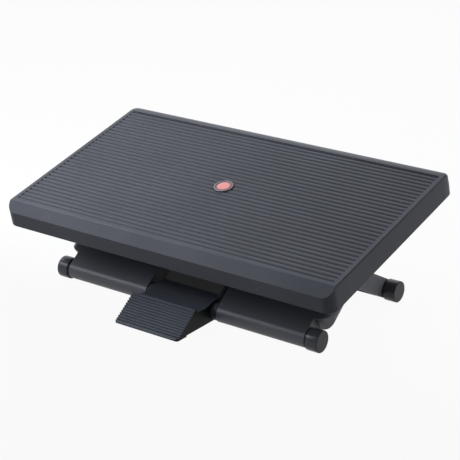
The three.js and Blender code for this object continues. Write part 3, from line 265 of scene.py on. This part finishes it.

# Painted shade: the troughs of the tread are coloured darker than its crests. They lie 0.3 to 1.4 mm below the
# rim, inside it.
tread = platform_plastic.node_tree
tread_place = add(tread, "ShaderNodeTexCoord").outputs["Object"]
tread_place = add(tread, "ShaderNodeVectorMath", {"operation": "SUBTRACT", 1: platform_place.translation},
                  {0: tread_place}).outputs[0]
tread_place = add(tread, "ShaderNodeVectorRotate", {"rotation_type": "X_AXIS", "Angle": -platform_tilt},
                  {"Vector": tread_place}).outputs[0]
tread_at = add(tread, "ShaderNodeSeparateXYZ", links={"Vector": tread_place}).outputs
aside = add(tread, "ShaderNodeMath", {"operation": "ABSOLUTE"}, {0: tread_at["X"]}).outputs[0]
crest = None
for value, start, end, low, high in (
        (tread_at["Z"], -1.2, -0.4, 0, 1),  # from a trough up to a crest
        (tread_at["Z"], -2.0, -1.6, 1, 0),  # what lies below the tread
        (tread_at["Y"], -148, -143, 1, 0),  # the front rim and band
        (aside, 272, 276, 0, 1)):  # the side rims
    step = add(tread, "ShaderNodeMapRange",
               {"From Min": start * mm, "From Max": end * mm, "To Min": low, "To Max": high},
               {"Value": value}).outputs[0]
    crest = step if crest is None else add(
        tread, "ShaderNodeMath", {"operation": "MAXIMUM"}, {0: crest, 1: step}).outputs[0]
tread_face = next(node for node in tread.nodes if node.type == "BSDF_PRINCIPLED")
crest_colour = tread_face.inputs["Base Color"].links[0].from_socket
painted_trough_shade = add(tread, "ShaderNodeMix", {"data_type": "RGBA", 6: linear("#2f3035")},
                   {0: crest, 7: crest_colour})
tread.links.new(painted_trough_shade.outputs[2], tread_face.inputs["Base Color"])

# The crests are rubbed smooth and the rolled back edge is smoother still, so that they mirror more.
rubbed = add(tread, "ShaderNodeMapRange",
             {"From Min": -1 * mm, "From Max": -0.5 * mm, "To Min": 0.08, "To Max": -0.06},
             {"Value": tread_at["Z"]})
roll = add(tread, "ShaderNodeMapRange",
           {"From Min": 136 * mm, "From Max": 138 * mm, "To Min": 0, "To Max": -0.16},
           {"Value": tread_at["Y"]})
grain_gloss = tread_face.inputs["Roughness"].links[0].from_socket
gloss_sum = add(tread, "ShaderNodeMath", {"operation": "ADD"}, {0: rubbed.outputs[0], 1: roll.outputs[0]})
gloss_sum = add(tread, "ShaderNodeMath", {"operation": "ADD"}, {0: grain_gloss, 1: gloss_sum.outputs[0]})
tread.links.new(gloss_sum.outputs[0], tread_face.inputs["Roughness"])


def platform_rounding(at):
    """The front edge is rounded wide, the crests of the tread less, its steps and the ribs below least."""
    tread_side, tread_front, rim_side, front_edge = 272, -142.05, 275, -145
    under_deck, trough = -1.5, -1.3
    at = platform_place.inverted() @ at / mm
    if at.z < under_deck:
        return 0.3
    if abs(abs(at.x) - tread_side) < 0.5 or abs(at.y - tread_front) < 0.2:
        return 0.12
    if at.z > -0.1 and at.y < front_edge:
        return 1
    if abs(at.x) > rim_side:
        return 0.5
    return 0.2 if at.z < trough else 0.7


platform = moulding("platform_tray", 1.6 * mm, segments=3, share=platform_rounding)
fitted(platform, platform_plastic, "platform", "platform_plastic", "platform_tray")


# Badge. A plain red disc of soft PVC in a plain grey ABS ring, both pressed into a round recess at
# the middle of the tread. The disc is slightly domed and the ring's edges are bevelled.

def turned(name, profile, place, steps=96):
    """A closed form turned about the local Z of place, from (radius, level) points in millimetres."""
    form = bmesh.new()
    rings = []
    on_axis = 1e-6
    for radius, level in profile:
        angles = [2 * math.pi * i / steps for i in range(steps if radius > on_axis else 1)]
        points = [(radius * mm * math.cos(a), radius * mm * math.sin(a), level * mm) for a in angles]
        rings.append([form.verts.new(place @ Vector(p)) for p in points])
    closed = profile[0][0] > on_axis
    pairs = zip(rings, rings[1:] + rings[:1] if closed else rings[1:])
    for low, high in pairs:
        for i in range(steps):
            quad = [low[i % len(low)], low[(i + 1) % len(low)],
                    high[(i + 1) % len(high)], high[i % len(high)]]
            form.faces.new(list(dict.fromkeys(quad)))
    bmesh.ops.recalc_face_normals(form, faces=form.faces)
    mesh = bpy.data.meshes.new(name)
    form.to_mesh(mesh)
    form.free()
    mesh.shade_smooth()
    piece = bpy.data.objects.new(name, mesh)
    bpy.context.collection.objects.link(piece)
    return piece


def quarter(radius, level, rounding, from_degrees, to_degrees, steps=4):
    """Points of (radius, level) round one corner of an outline, about its centre."""
    turn = to_degrees - from_degrees
    angles = [math.radians(from_degrees + turn * i / steps) for i in range(steps + 1)]
    return [(radius + rounding * math.cos(a), level + rounding * math.sin(a)) for a in angles]


# Grey ABS off a polished mould: an even colour with a soft sheen.
ring_plastic = moulded("abs_grey", "#645a5d", "#6f6569", ior=1.53, roughness=0.38,
                       grain=0.8 * mm, depth=0.03 * mm)
badge_bottom = -1.9
badge_ring = turned("badge_ring_moulding", [
    (11.3, badge_bottom), (14.7, badge_bottom),
    *quarter(14.1, 0.5, 0.6, 0, 60), *quarter(12.0, 0.45, 0.65, 120, 180),
], platform_place, steps=128)
fitted(badge_ring, ring_plastic, "platform", "badge_grey", "badge_ring")

# Soft red PVC, cast: matt, with a faint mottle of its filler.
disc_radius, disc_shoulder, disc_top, disc_steps = 11.0, 0.6, 1.1, 12
disc_plastic, disc_tree = unpainted("pvc_red")
disc_place = add(disc_tree, "ShaderNodeTexCoord").outputs["Object"]
filler = add(disc_tree, "ShaderNodeTexVoronoi", {"Scale": 1 / (0.9 * mm)}, {"Vector": disc_place})
cloud = add(disc_tree, "ShaderNodeTexNoise", {"Scale": 1 / (4 * mm), "Detail": 3}, {"Vector": disc_place})
speck = add(disc_tree, "ShaderNodeMath", {"operation": "MULTIPLY"},
            {0: filler.outputs["Distance"], 1: cloud.outputs["Fac"]})
disc_tint = add(disc_tree, "ShaderNodeMapRange", {"From Min": 0.05, "From Max": 0.4},
                {"Value": speck.outputs[0]})
disc_colour = add(disc_tree, "ShaderNodeMix",
                  {"data_type": "RGBA", 6: linear("#d97e78"), 7: linear("#e0928a")}, {0: disc_tint.outputs[0]})
disc_gloss = add(disc_tree, "ShaderNodeMapRange", {"To Min": 0.42, "To Max": 0.58},
                 {"Value": cloud.outputs["Fac"]})
disc_relief = add(disc_tree, "ShaderNodeBump", {"Strength": 0.4, "Distance": 0.05 * mm},
                  {"Height": filler.outputs["Distance"]})
disc_face = add(disc_tree, "ShaderNodeBsdfPrincipled", {"IOR": 1.53},
                {"Base Color": disc_colour.outputs[2], "Roughness": disc_gloss.outputs[0],
                 "Normal": disc_relief.outputs[0]})
add(disc_tree, "ShaderNodeOutputMaterial", links={"Surface": disc_face.outputs[0]})

# Painted shade: the red is darker round the disc's rounded edge.
disc_middle = platform_place @ Vector((0, 0, disc_top * mm))
from_middle = add(disc_tree, "ShaderNodeVectorMath", {"operation": "DISTANCE", 1: disc_middle}, {0: disc_place})
disc_edge_shade = add(disc_tree, "ShaderNodeMapRange",
                {"interpolation_type": "SMOOTHSTEP", "From Min": 8.6 * mm, "From Max": 10.6 * mm},
                {"Value": from_middle.outputs["Value"]})
painted_over(disc_plastic, disc_edge_shade.outputs[0], "#7d3f40")
dome = []
for i in range(disc_steps):
    angle = i / disc_steps * math.pi / 2
    dome.append((disc_radius * math.cos(angle), disc_shoulder + 0.5 * math.sin(angle)))
badge_disc = turned("badge_disc_casting", [
    (0, badge_bottom), (disc_radius, badge_bottom), *dome, (0, disc_top),
], platform_place, steps=128)
fitted(badge_disc, disc_plastic, "platform", "badge_red", "badge_disc")


# Saddles. Four bearing blocks of black polypropylene, each a flange with a round nose about its shaft,
# screwed up against the platform's ribs.

# Black polypropylene off a fine-grained mould: smoother than the platform, with long soft glints.
# The real grain, under 0.1 mm, is drawn at 1.1 mm.
leg_plastic = moulded("polypropylene_black", "#45464b", "#4e4f54", ior=1.49, roughness=0.45,
                      grain=1.1 * mm, depth=0.05 * mm)
for end in ("front", "rear"):
    for side in ("left", "right"):
        saddle = moulding(f"{end}_saddle_{side}", 0.5 * mm)
        fitted(saddle, leg_plastic, "platform", "leg_plastic", f"{end}_saddle_{side}")


# Screws. Pan head screws of zinc plated steel with a cross recess, driven up through the flanges of
# the saddles and of the brake housing into the platform's bosses.

def metal(name, colour, pale, roughness, fleck, depth):
    """A metal with a thin treated skin: flecks of it shine a little more or less than the rest."""
    material, tree = unpainted(name)
    place = add(tree, "ShaderNodeTexCoord").outputs["Object"]
    flecks = add(tree, "ShaderNodeTexVoronoi", {"Scale": 1 / fleck}, {"Vector": place})
    haze = add(tree, "ShaderNodeTexNoise", {"Scale": 1 / (fleck * 6), "Detail": 4}, {"Vector": place})
    share = add(tree, "ShaderNodeMath", {"operation": "MULTIPLY"},
                {0: flecks.outputs["Distance"], 1: haze.outputs["Fac"]})
    tint = add(tree, "ShaderNodeMapRange", {"From Min": 0.05, "From Max": 0.4}, {"Value": share.outputs[0]})
    blend = add(tree, "ShaderNodeMix", {"data_type": "RGBA", 6: linear(colour), 7: linear(pale)},
                {0: tint.outputs[0]})
    gloss = add(tree, "ShaderNodeMapRange", {"To Min": roughness - 0.06, "To Max": roughness + 0.08},
                {"Value": haze.outputs["Fac"]})
    relief = add(tree, "ShaderNodeBump", {"Strength": 0.5, "Distance": depth}, {"Height": share.outputs[0]})
    surface = add(tree, "ShaderNodeBsdfPrincipled", {"Metallic": 1.0},
                  {"Base Color": blend.outputs[2], "Roughness": gloss.outputs[0], "Normal": relief.outputs[0]})
    add(tree, "ShaderNodeOutputMaterial", links={"Surface": surface.outputs[0]})
    return material


def measured(node, place):
    """A node's lowest and highest corners, in millimetres, in the directions of place."""
    points = [place.inverted() @ v.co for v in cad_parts[node].data.vertices]
    return [[extreme(p[axis] for p in points) / mm for axis in range(3)] for extreme in (min, max)]


# Zinc plating, blue passivated: bright, slightly blue, with a fine crystalline fleck.
zinc = metal("zinc_plated_steel", "#9ea3ab", "#b9bec5", roughness=0.3, fleck=1.2 * mm, depth=0.02 * mm)
cross_arm, cross_width, cross_depth = 2.1, 0.75, 1.3
head_radius, head_top, head_rounding = 3.6, 2.2, 1.1
shank, root, pitch, first_crest, first_root = 1.9, 1.62, 0.8, 2.8, 3.2
screw_names = [f"{end}_saddle_{side}_screw_{at}"
               for end in ("front", "rear") for side in ("left", "right") for at in ("front", "back")]
screw_names += [f"housing_screw_{at}_{side}" for at in ("front", "back") for side in ("left", "right")]
screw_mesh = None
for name in screw_names:
    low, high = measured(name, platform_place)
    screw_place = platform_place @ Matrix.Translation(
        ((low[0] + high[0]) / 2 * mm, (low[1] + high[1]) / 2 * mm, low[2] * mm))
    if screw_mesh is None:
        length = high[2] - low[2]
        thread = []
        for i in range(int((length - first_root) / pitch)):
            thread += [(shank, first_crest + i * pitch), (root, first_root + i * pitch)]
        head = turned("screw_head", [
            (0, 0), (2.3, 0.02), *quarter(2.5, head_rounding, head_rounding, 270, 360, 5),
            (head_radius, head_top), (shank, head_top), *thread,
            (1.5, length - 0.3), (0.9, length), (0, length),
        ], Matrix(), steps=48)
        cutter_form = bmesh.new()
        for span in ((cross_arm, cross_width), (cross_width, cross_arm)):
            scale = Matrix.Diagonal((span[0] * 2 * mm, span[1] * 2 * mm, cross_depth * 2 * mm, 1))
            bmesh.ops.create_cube(cutter_form, size=1, matrix=scale)
        cutter_mesh = bpy.data.meshes.new("cross_cutter")
        cutter_form.to_mesh(cutter_mesh)
        cutter_form.free()
        cutter = bpy.data.objects.new("cross_cutter", cutter_mesh)
        bpy.context.collection.objects.link(cutter)
        recess = head.modifiers.new("cross_recess", "BOOLEAN")
        recess.object = cutter
        recess.operation = "DIFFERENCE"
        recess.solver = "EXACT"
        recess.use_self = True
        shaped = head.evaluated_get(bpy.context.evaluated_depsgraph_get())
        screw_mesh = bpy.data.meshes.new_from_object(shaped)
        screw_mesh.set_sharp_from_angle(angle=math.radians(35))
        bpy.data.objects.remove(head)
        bpy.data.objects.remove(cutter)
    mesh = screw_mesh.copy()
    mesh.transform(screw_place)
    screw = bpy.data.objects.new(name + "_turning", mesh)
    bpy.context.collection.objects.link(screw)
    fitted(screw, zinc, "platform", "steel", name)


# Friction brake. A block of black coated steel screwed under the deck, with a lined shoe at each end
# that a coil spring presses against the drum on the leg's shaft.

# Powder coat on steel: near black, with the slight orange peel of baked powder.
powder = moulded("powder_coated_steel", "#1e1f21", "#292a2c", ior=1.5, roughness=0.4,
                 grain=1.6 * mm, depth=0.08 * mm)
housing = moulding("brake_housing", 0.4 * mm)
fitted(housing, powder, "platform", "coated_steel", "brake_housing")

# Moulded friction lining: brown, matt and coarse, with pale fibres and dark grit in resin.
lining, lining_tree = unpainted("friction_lining")
lining_place = add(lining_tree, "ShaderNodeTexCoord").outputs["Object"]
grit = add(lining_tree, "ShaderNodeTexVoronoi", {"Scale": 1 / (0.8 * mm)}, {"Vector": lining_place})
along = add(lining_tree, "ShaderNodeMapping", {"Scale": (1, 6, 6)}, {"Vector": lining_place})
fibre = add(lining_tree, "ShaderNodeTexNoise", {"Scale": 1 / (3 * mm), "Detail": 4},
            {"Vector": along.outputs[0]})
lining_tint = add(lining_tree, "ShaderNodeMath", {"operation": "MULTIPLY"},
                  {0: grit.outputs["Distance"], 1: fibre.outputs["Fac"]})
lining_share = add(lining_tree, "ShaderNodeMapRange", {"From Min": 0.05, "From Max": 0.45},
                   {"Value": lining_tint.outputs[0]})
lining_colour = add(lining_tree, "ShaderNodeMix",
                    {"data_type": "RGBA", 6: linear("#3a2f27"), 7: linear("#6b5a49")},
                    {0: lining_share.outputs[0]})
lining_relief = add(lining_tree, "ShaderNodeBump", {"Strength": 0.8, "Distance": 0.15 * mm},
                    {"Height": lining_tint.outputs[0]})
lining_gloss = add(lining_tree, "ShaderNodeMapRange", {"To Min": 0.7, "To Max": 0.95},
                   {"Value": fibre.outputs["Fac"]})
lining_face = add(lining_tree, "ShaderNodeBsdfPrincipled", {"IOR": 1.55},
                  {"Base Color": lining_colour.outputs[2], "Roughness": lining_gloss.outputs[0],
                   "Normal": lining_relief.outputs[0]})
add(lining_tree, "ShaderNodeOutputMaterial", links={"Surface": lining_face.outputs[0]})

# Spring steel, drawn and oiled: a cool grey with fine streaks along the wire.
spring_steel = metal("drawn_spring_steel", "#7f848a", "#979ca2", roughness=0.32, fleck=0.9 * mm,
                     depth=0.02 * mm)


def coiled(name, radius, wire, turns, length, place):
    """A coil spring of round wire about the local X of place, in millimetres, centred on it."""
    line = bpy.data.curves.new(name, "CURVE")
    line.dimensions = "3D"
    line.bevel_depth = wire * mm
    line.bevel_resolution = 5
    line.use_fill_caps = True
    per_turn = 28
    count = turns * per_turn + 1
    wound = line.splines.new("POLY")
    wound.points.add(count - 1)
    for i, point in enumerate(wound.points):
        angle = 2 * math.pi * i / per_turn
        along = length * (i / (count - 1) - 0.5)
        at = Vector((along, radius * math.cos(angle), radius * math.sin(angle))) * mm
        point.co = (*(place @ at), 1)
    piece = bpy.data.objects.new(name, line)
    bpy.context.collection.objects.link(piece)
    return piece


hinge_drop = 32
seat_reach = 19.98
for end, facing in (("front", -1), ("rear", 1)):
    shoe = moulding(f"{end}_brake_shoe", 0.35 * mm)
    fitted(shoe, lining, f"{end}_shoe", "brake_lining", f"{end}_brake_shoe")
    seat = platform_place @ Matrix.Translation((0, facing * seat_reach * mm, -hinge_drop * mm))
    seat = seat @ Matrix.Rotation(-facing * math.pi / 2, 4, "Z")
    brake_spring = coiled(f"{end}_brake_spring_winding", radius=4.4, wire=0.6, turns=6, length=14.16,
                          place=seat)
    fitted(brake_spring, spring_steel, "platform", "steel", f"{end}_brake_spring")


# Front leg. One hollow moulding of black polypropylene: a panel with the pedal's cut-out, a round
# barrel for the foot's tube, and two outer arms that run up to the rear shaft.

leg_edge = 0.7 * mm
front_leg = moulding("front_leg", leg_edge, segments=3)
fitted(front_leg, leg_plastic, "front_leg", "leg_plastic", "front_leg")


# Rear leg. The same kind of moulding, narrower, so that it passes between the front leg's arms.

# Painted light: its flat ends are paler toward the floor, which makes up for the shade of the caps.
leg_tree = leg_plastic.node_tree
leg_place = add(leg_tree, "ShaderNodeTexCoord").outputs["Object"]
leg_at = add(leg_tree, "ShaderNodeSeparateXYZ", links={"Vector": leg_place}).outputs
leg_reach = add(leg_tree, "ShaderNodeMath", {"operation": "ABSOLUTE"}, {0: leg_at["X"]})
leg_end = add(leg_tree, "ShaderNodeMapRange", {"From Min": 207.2 * mm, "From Max": 207.9 * mm},
              {"Value": leg_reach.outputs[0]})
low, high = measured("rear_foot_tube", Matrix())
foot_middle = [(a + b) / 2 * mm for a, b in zip(low, high)]
from_foot = add(leg_tree, "ShaderNodeVectorMath", {"operation": "SUBTRACT", 1: foot_middle}, {0: leg_place})
from_foot = add(leg_tree, "ShaderNodeVectorMath", {"operation": "MULTIPLY", 1: (0, 1, 1)},
                {0: from_foot.outputs[0]})
from_foot = add(leg_tree, "ShaderNodeVectorMath", {"operation": "LENGTH"}, {0: from_foot.outputs[0]})
painted_light_near_foot = add(leg_tree, "ShaderNodeMapRange",
              {"interpolation_type": "SMOOTHSTEP", "From Min": 75 * mm, "From Max": 15 * mm},
              {"Value": from_foot.outputs["Value"]})
painted_light_near_foot = add(leg_tree, "ShaderNodeMath", {"operation": "MULTIPLY"},
              {0: painted_light_near_foot.outputs[0], 1: leg_end.outputs[0]})
painted_over(leg_plastic, painted_light_near_foot.outputs[0], "#727277")
rear_leg = moulding("rear_leg", leg_edge, segments=3)
fitted(rear_leg, leg_plastic, "rear_leg", "leg_plastic", "rear_leg")


# Hinge shafts. Bars of zinc plated steel with one flat, driven by the legs' bores. Each carries a
# turned brake drum at its middle and a retaining ring outside each arm.

# Turned steel, browned: dark, with the fine rings that the lathe leaves round the drum.
drum_steel, drum_tree = unpainted("turned_steel")
drum_place = add(drum_tree, "ShaderNodeTexCoord").outputs["Object"]
rings = add(drum_tree, "ShaderNodeTexWave",
            {"wave_type": "BANDS", "bands_direction": "X", "Scale": 0.35 / (1 * mm),
             "Distortion": 0.6, "Detail": 2},
            {"Vector": drum_place})
stain = add(drum_tree, "ShaderNodeTexNoise", {"Scale": 1 / (6 * mm), "Detail": 4}, {"Vector": drum_place})
drum_colour = add(drum_tree, "ShaderNodeMix",
                  {"data_type": "RGBA", 6: linear("#3b3d40"), 7: linear("#55575b")}, {0: stain.outputs["Fac"]})
drum_gloss = add(drum_tree, "ShaderNodeMapRange", {"To Min": 0.28, "To Max": 0.46},
                 {"Value": stain.outputs["Fac"]})
drum_relief = add(drum_tree, "ShaderNodeBump", {"Strength": 0.35, "Distance": 0.03 * mm},
                  {"Height": rings.outputs["Fac"]})
drum_face = add(drum_tree, "ShaderNodeBsdfPrincipled", {"Metallic": 1.0},
                {"Base Color": drum_colour.outputs[2], "Roughness": drum_gloss.outputs[0],
                 "Normal": drum_relief.outputs[0]})
add(drum_tree, "ShaderNodeOutputMaterial", links={"Surface": drum_face.outputs[0]})

# Black oxide on steel, for the rings and the tubes in the feet: dark and oily, a little blue.
oxide = metal("black_oxide_steel", "#26282c", "#35373b", roughness=0.36, fleck=1 * mm, depth=0.02 * mm)
shaft_edge, ring_edge, ring_bore = 0.3 * mm, 0.2, 6.3
for end, leg in (("rear", "front_leg"), ("front", "rear_leg")):
    bar = moulding(f"{end}_shaft", shaft_edge)
    fitted(bar, zinc, leg, "steel", f"{end}_shaft")
    drum = moulding(f"{end}_brake_drum", shaft_edge)
    fitted(drum, drum_steel, leg, "coated_steel", f"{end}_brake_drum")
    for side in ("right", "left"):
        low, high = measured(f"{end}_ring_{side}", Matrix())
        middle = [(a + b) / 2 * mm for a, b in zip(low, high)]
        outer, half = (high[2] - low[2]) / 2, (high[0] - low[0]) / 2
        ring_place = Matrix.Translation(middle) @ Matrix.Rotation(math.pi / 2, 4, "Y")
        clip = turned(f"{end}_ring_{side}_stamping", [
            (ring_bore, -half + ring_edge),
            *quarter(outer - ring_edge, -half + ring_edge, ring_edge, 270, 360, 3),
            *quarter(outer - ring_edge, half - ring_edge, ring_edge, 0, 90, 3),
            *quarter(ring_bore + ring_edge, half - ring_edge, ring_edge, 90, 180, 3),
            *quarter(ring_bore + ring_edge, -half + ring_edge, ring_edge, 180, 260, 2),
        ], ring_place, steps=64)
        fitted(clip, oxide, leg, "coated_steel", f"{end}_ring_{side}")


# Feet. A black steel tube runs through each leg's barrel. At each of its ends a round cap of
# polyethylene, turned smooth, is pushed on and keeps the plastic barrel off the floor.

# Polyethylene, polished: black and waxy, with a bright even highlight.
cap_plastic = moulded("polyethylene_black", "#434347", "#4c4c50", ior=1.51, roughness=0.26,
                      grain=1.5 * mm, depth=0.02 * mm, shine=0.2)

# Painted shade: the flat ends of the caps are coloured darker than the polished rounds.
cap_tree = cap_plastic.node_tree
cap_at = add(cap_tree, "ShaderNodeSeparateXYZ", links={
    "Vector": add(cap_tree, "ShaderNodeTexCoord").outputs["Object"]}).outputs
cap_reach = add(cap_tree, "ShaderNodeMath", {"operation": "ABSOLUTE"}, {0: cap_at["X"]})
cap_end_shade = add(cap_tree, "ShaderNodeMapRange", {"From Min": 228 * mm, "From Max": 228.7 * mm},
              {"Value": cap_reach.outputs[0]})
painted_over(cap_plastic, cap_end_shade.outputs[0], "#0c0c0e")
tube_bore, tube_inner, tube_outer, tube_edge = 6.5, 6.9, 7.6, 0.4
socket_radius, socket_depth = 8.3, 13
for end, leg in (("front", "front_leg"), ("rear", "rear_leg")):
    low, high = measured(f"{end}_foot_tube", Matrix())
    middle = [(a + b) / 2 * mm for a, b in zip(low, high)]
    tube_place = Matrix.Translation(middle) @ Matrix.Rotation(math.pi / 2, 4, "Y")
    half = (high[0] - low[0]) / 2
    tube = turned(f"{end}_foot_tube_drawing", [
        (tube_bore, -half + 0.3), *quarter(tube_inner, -half + tube_edge, tube_edge, 180, 270, 3),
        *quarter(tube_outer, -half + tube_edge, tube_edge, 270, 360, 3),
        *quarter(tube_outer, half - tube_edge, tube_edge, 0, 90, 3),
        *quarter(tube_inner, half - tube_edge, tube_edge, 90, 180, 3),
    ], tube_place, steps=72)
    fitted(tube, oxide, leg, "coated_steel", f"{end}_foot_tube")
    for side in ("right", "left"):
        low, high = measured(f"{end}_foot_cap_{side}", Matrix())
        facing, inner_end = (1, low[0]) if low[0] > 0 else (-1, high[0])
        length = high[0] - low[0]
        cap_place = Matrix.Translation((inner_end * mm, middle[1], middle[2]))
        cap_place = cap_place @ Matrix.Rotation(facing * math.pi / 2, 4, "Y")
        cap = turned(f"{end}_foot_cap_{side}_turning", [
            # The flat end, its rounded edge, and the round side
            (0, length), (14.2, length), *quarter(14.5, length - 1.3, 1.3, 90, 0, 8),
            *quarter(15.2, 2.5, 0.6, 0, -90, 3),
            # The neck against the barrel, and the socket of the tube
            (13.4, 1.9), (13.1, 1.7), *quarter(12.6, 0.5, 0.5, 0, -90, 3),
            (socket_radius, 0), (socket_radius, socket_depth), (0, socket_depth),
        ], cap_place)
        fitted(cap, cap_plastic, leg, "cap_plastic", f"{end}_foot_cap_{side}")


# Pedal. One moulding of black polypropylene that rocks on the foot's tube: a ribbed sloping plate,
# a dished top behind it, and a crank that reaches back over the release cable.

# Black polypropylene worn by soles: a bluer grey than the legs, and duller, with hardly a glint.
pedal_plastic = moulded("polypropylene_slate", "#404349", "#4a4d54", ior=1.49, roughness=0.45,
                        grain=1.0 * mm, depth=0.03 * mm, shine=0.12)

# Painted shade: its sides, which face sideways, are coloured darker than the plate.
pedal_tree = pedal_plastic.node_tree
pedal_turn = add(pedal_tree, "ShaderNodeSeparateXYZ", links={
    "Vector": add(pedal_tree, "ShaderNodeTexCoord").outputs["Normal"]}).outputs
sideways = add(pedal_tree, "ShaderNodeMath", {"operation": "ABSOLUTE"}, {0: pedal_turn["X"]})
pedal_side_shade = add(pedal_tree, "ShaderNodeMapRange", {"From Min": 0.7, "From Max": 0.95},
            {"Value": sideways.outputs[0]})
painted_over(pedal_plastic, pedal_side_shade.outputs[0], "#0e1012")
pedal = moulding("pedal", 0.3 * mm)
fitted(pedal, pedal_plastic, "pedal", "pedal_plastic", "pedal")
front_foot_y, front_foot_z = -81.729 * mm, 15.8 * mm
foot_place = Matrix.Translation((0, front_foot_y, front_foot_z))
pedal_spring = coiled("pedal_spring_winding", radius=9.4, wire=0.8, turns=7, length=22.4, place=foot_place)
fitted(pedal_spring, spring_steel, "pedal", "steel", "pedal_spring")


# Release cable. A steel wire in a black PVC sheath, held along the front leg's panel and right arm,
# and under the platform from the hinge to the brake housing.

def routed(name, points, radius, place, per_span=10):
    """A cable along a centripetal Catmull-Rom line through points of place, in millimetres."""
    knots = [Vector(p) for p in points]
    knots = [knots[0] * 2 - knots[1], *knots, knots[-1] * 2 - knots[-2]]
    centres = []
    for a, b, c, d in zip(knots, knots[1:], knots[2:], knots[3:]):
        ta = 0
        tb = ta + (b - a).length ** 0.5
        tc = tb + (c - b).length ** 0.5
        td = tc + (d - c).length ** 0.5
        for i in range(per_span):
            t = tb + (tc - tb) * i / per_span
            ab = a.lerp(b, (t - ta) / (tb - ta))
            bc = b.lerp(c, (t - tb) / (tc - tb))
            cd = c.lerp(d, (t - tc) / (td - tc))
            abc = ab.lerp(bc, (t - ta) / (tc - ta))
            bcd = bc.lerp(cd, (t - tb) / (td - tb))
            centres.append(abc.lerp(bcd, (t - tb) / (tc - tb)))
    centres.append(knots[-2])
    line = bpy.data.curves.new(name, "CURVE")
    line.dimensions = "3D"
    line.bevel_depth = radius * mm
    line.bevel_resolution = 6
    line.use_fill_caps = True
    run = line.splines.new("POLY")
    run.points.add(len(centres) - 1)
    for point, centre in zip(run.points, centres):
        point.co = (*(place @ (centre * mm)), 1)
    piece = bpy.data.objects.new(name, line)
    bpy.context.collection.objects.link(piece)
    return piece


# Extruded PVC: black, evenly smooth, with the faint lengthwise lines of the die.
sheath = moulded("pvc_black", "#131314", "#1c1c1e", ior=1.53, roughness=0.35, grain=2 * mm, depth=0.04 * mm)
cable_radius, cable_drop = 2, 16.3
leg_angle = 24.13
leg_place = foot_place @ Matrix.Rotation(math.radians(leg_angle + platform_slope), 4, "X")
arm_x, crank_x, panel_y, hub_y, level = 220, 50.1, 59, 217.6, -cable_drop
leg_cable = routed("leg_release_cable_run", [
    # Down from under the crank's tip
    (crank_x, 38, -4.3), (crank_x, 38, -12.3), (crank_x + 2, 40, level - 1),
    (crank_x + 8, panel_y - 8, level - 1),
    # Along the panel and round the corner
    (crank_x + 32, panel_y, level), (arm_x - 32, panel_y, level), (arm_x - 4, panel_y + 4, level),
    # Up the arm to its hub
    (arm_x, panel_y + 32, level), (arm_x, 185.6, level), (arm_x, 201.6, level), (arm_x - 4, hub_y, level),
    (210, hub_y, level),
], cable_radius, leg_place)
fitted(leg_cable, sheath, "front_leg", "cable_sheath", "leg_release_cable")
hinge_y = 75
cable_y = hinge_y + cable_drop * math.sin(math.radians(leg_angle))
cable_z = -hinge_drop - cable_drop * math.cos(math.radians(leg_angle))
platform_cable = routed("platform_release_cable_run", [
    (209.4, cable_y, cable_z), (193.4, cable_y, cable_z), (157, 53, cable_z),
    (86.5, 26.5, (cable_z - hinge_drop) / 2), (40.5, 0, -hinge_drop), (14.3, 0, -hinge_drop),
], cable_radius, platform_place)
fitted(platform_cable, sheath, "platform", "cable_sheath", "platform_release_cable")
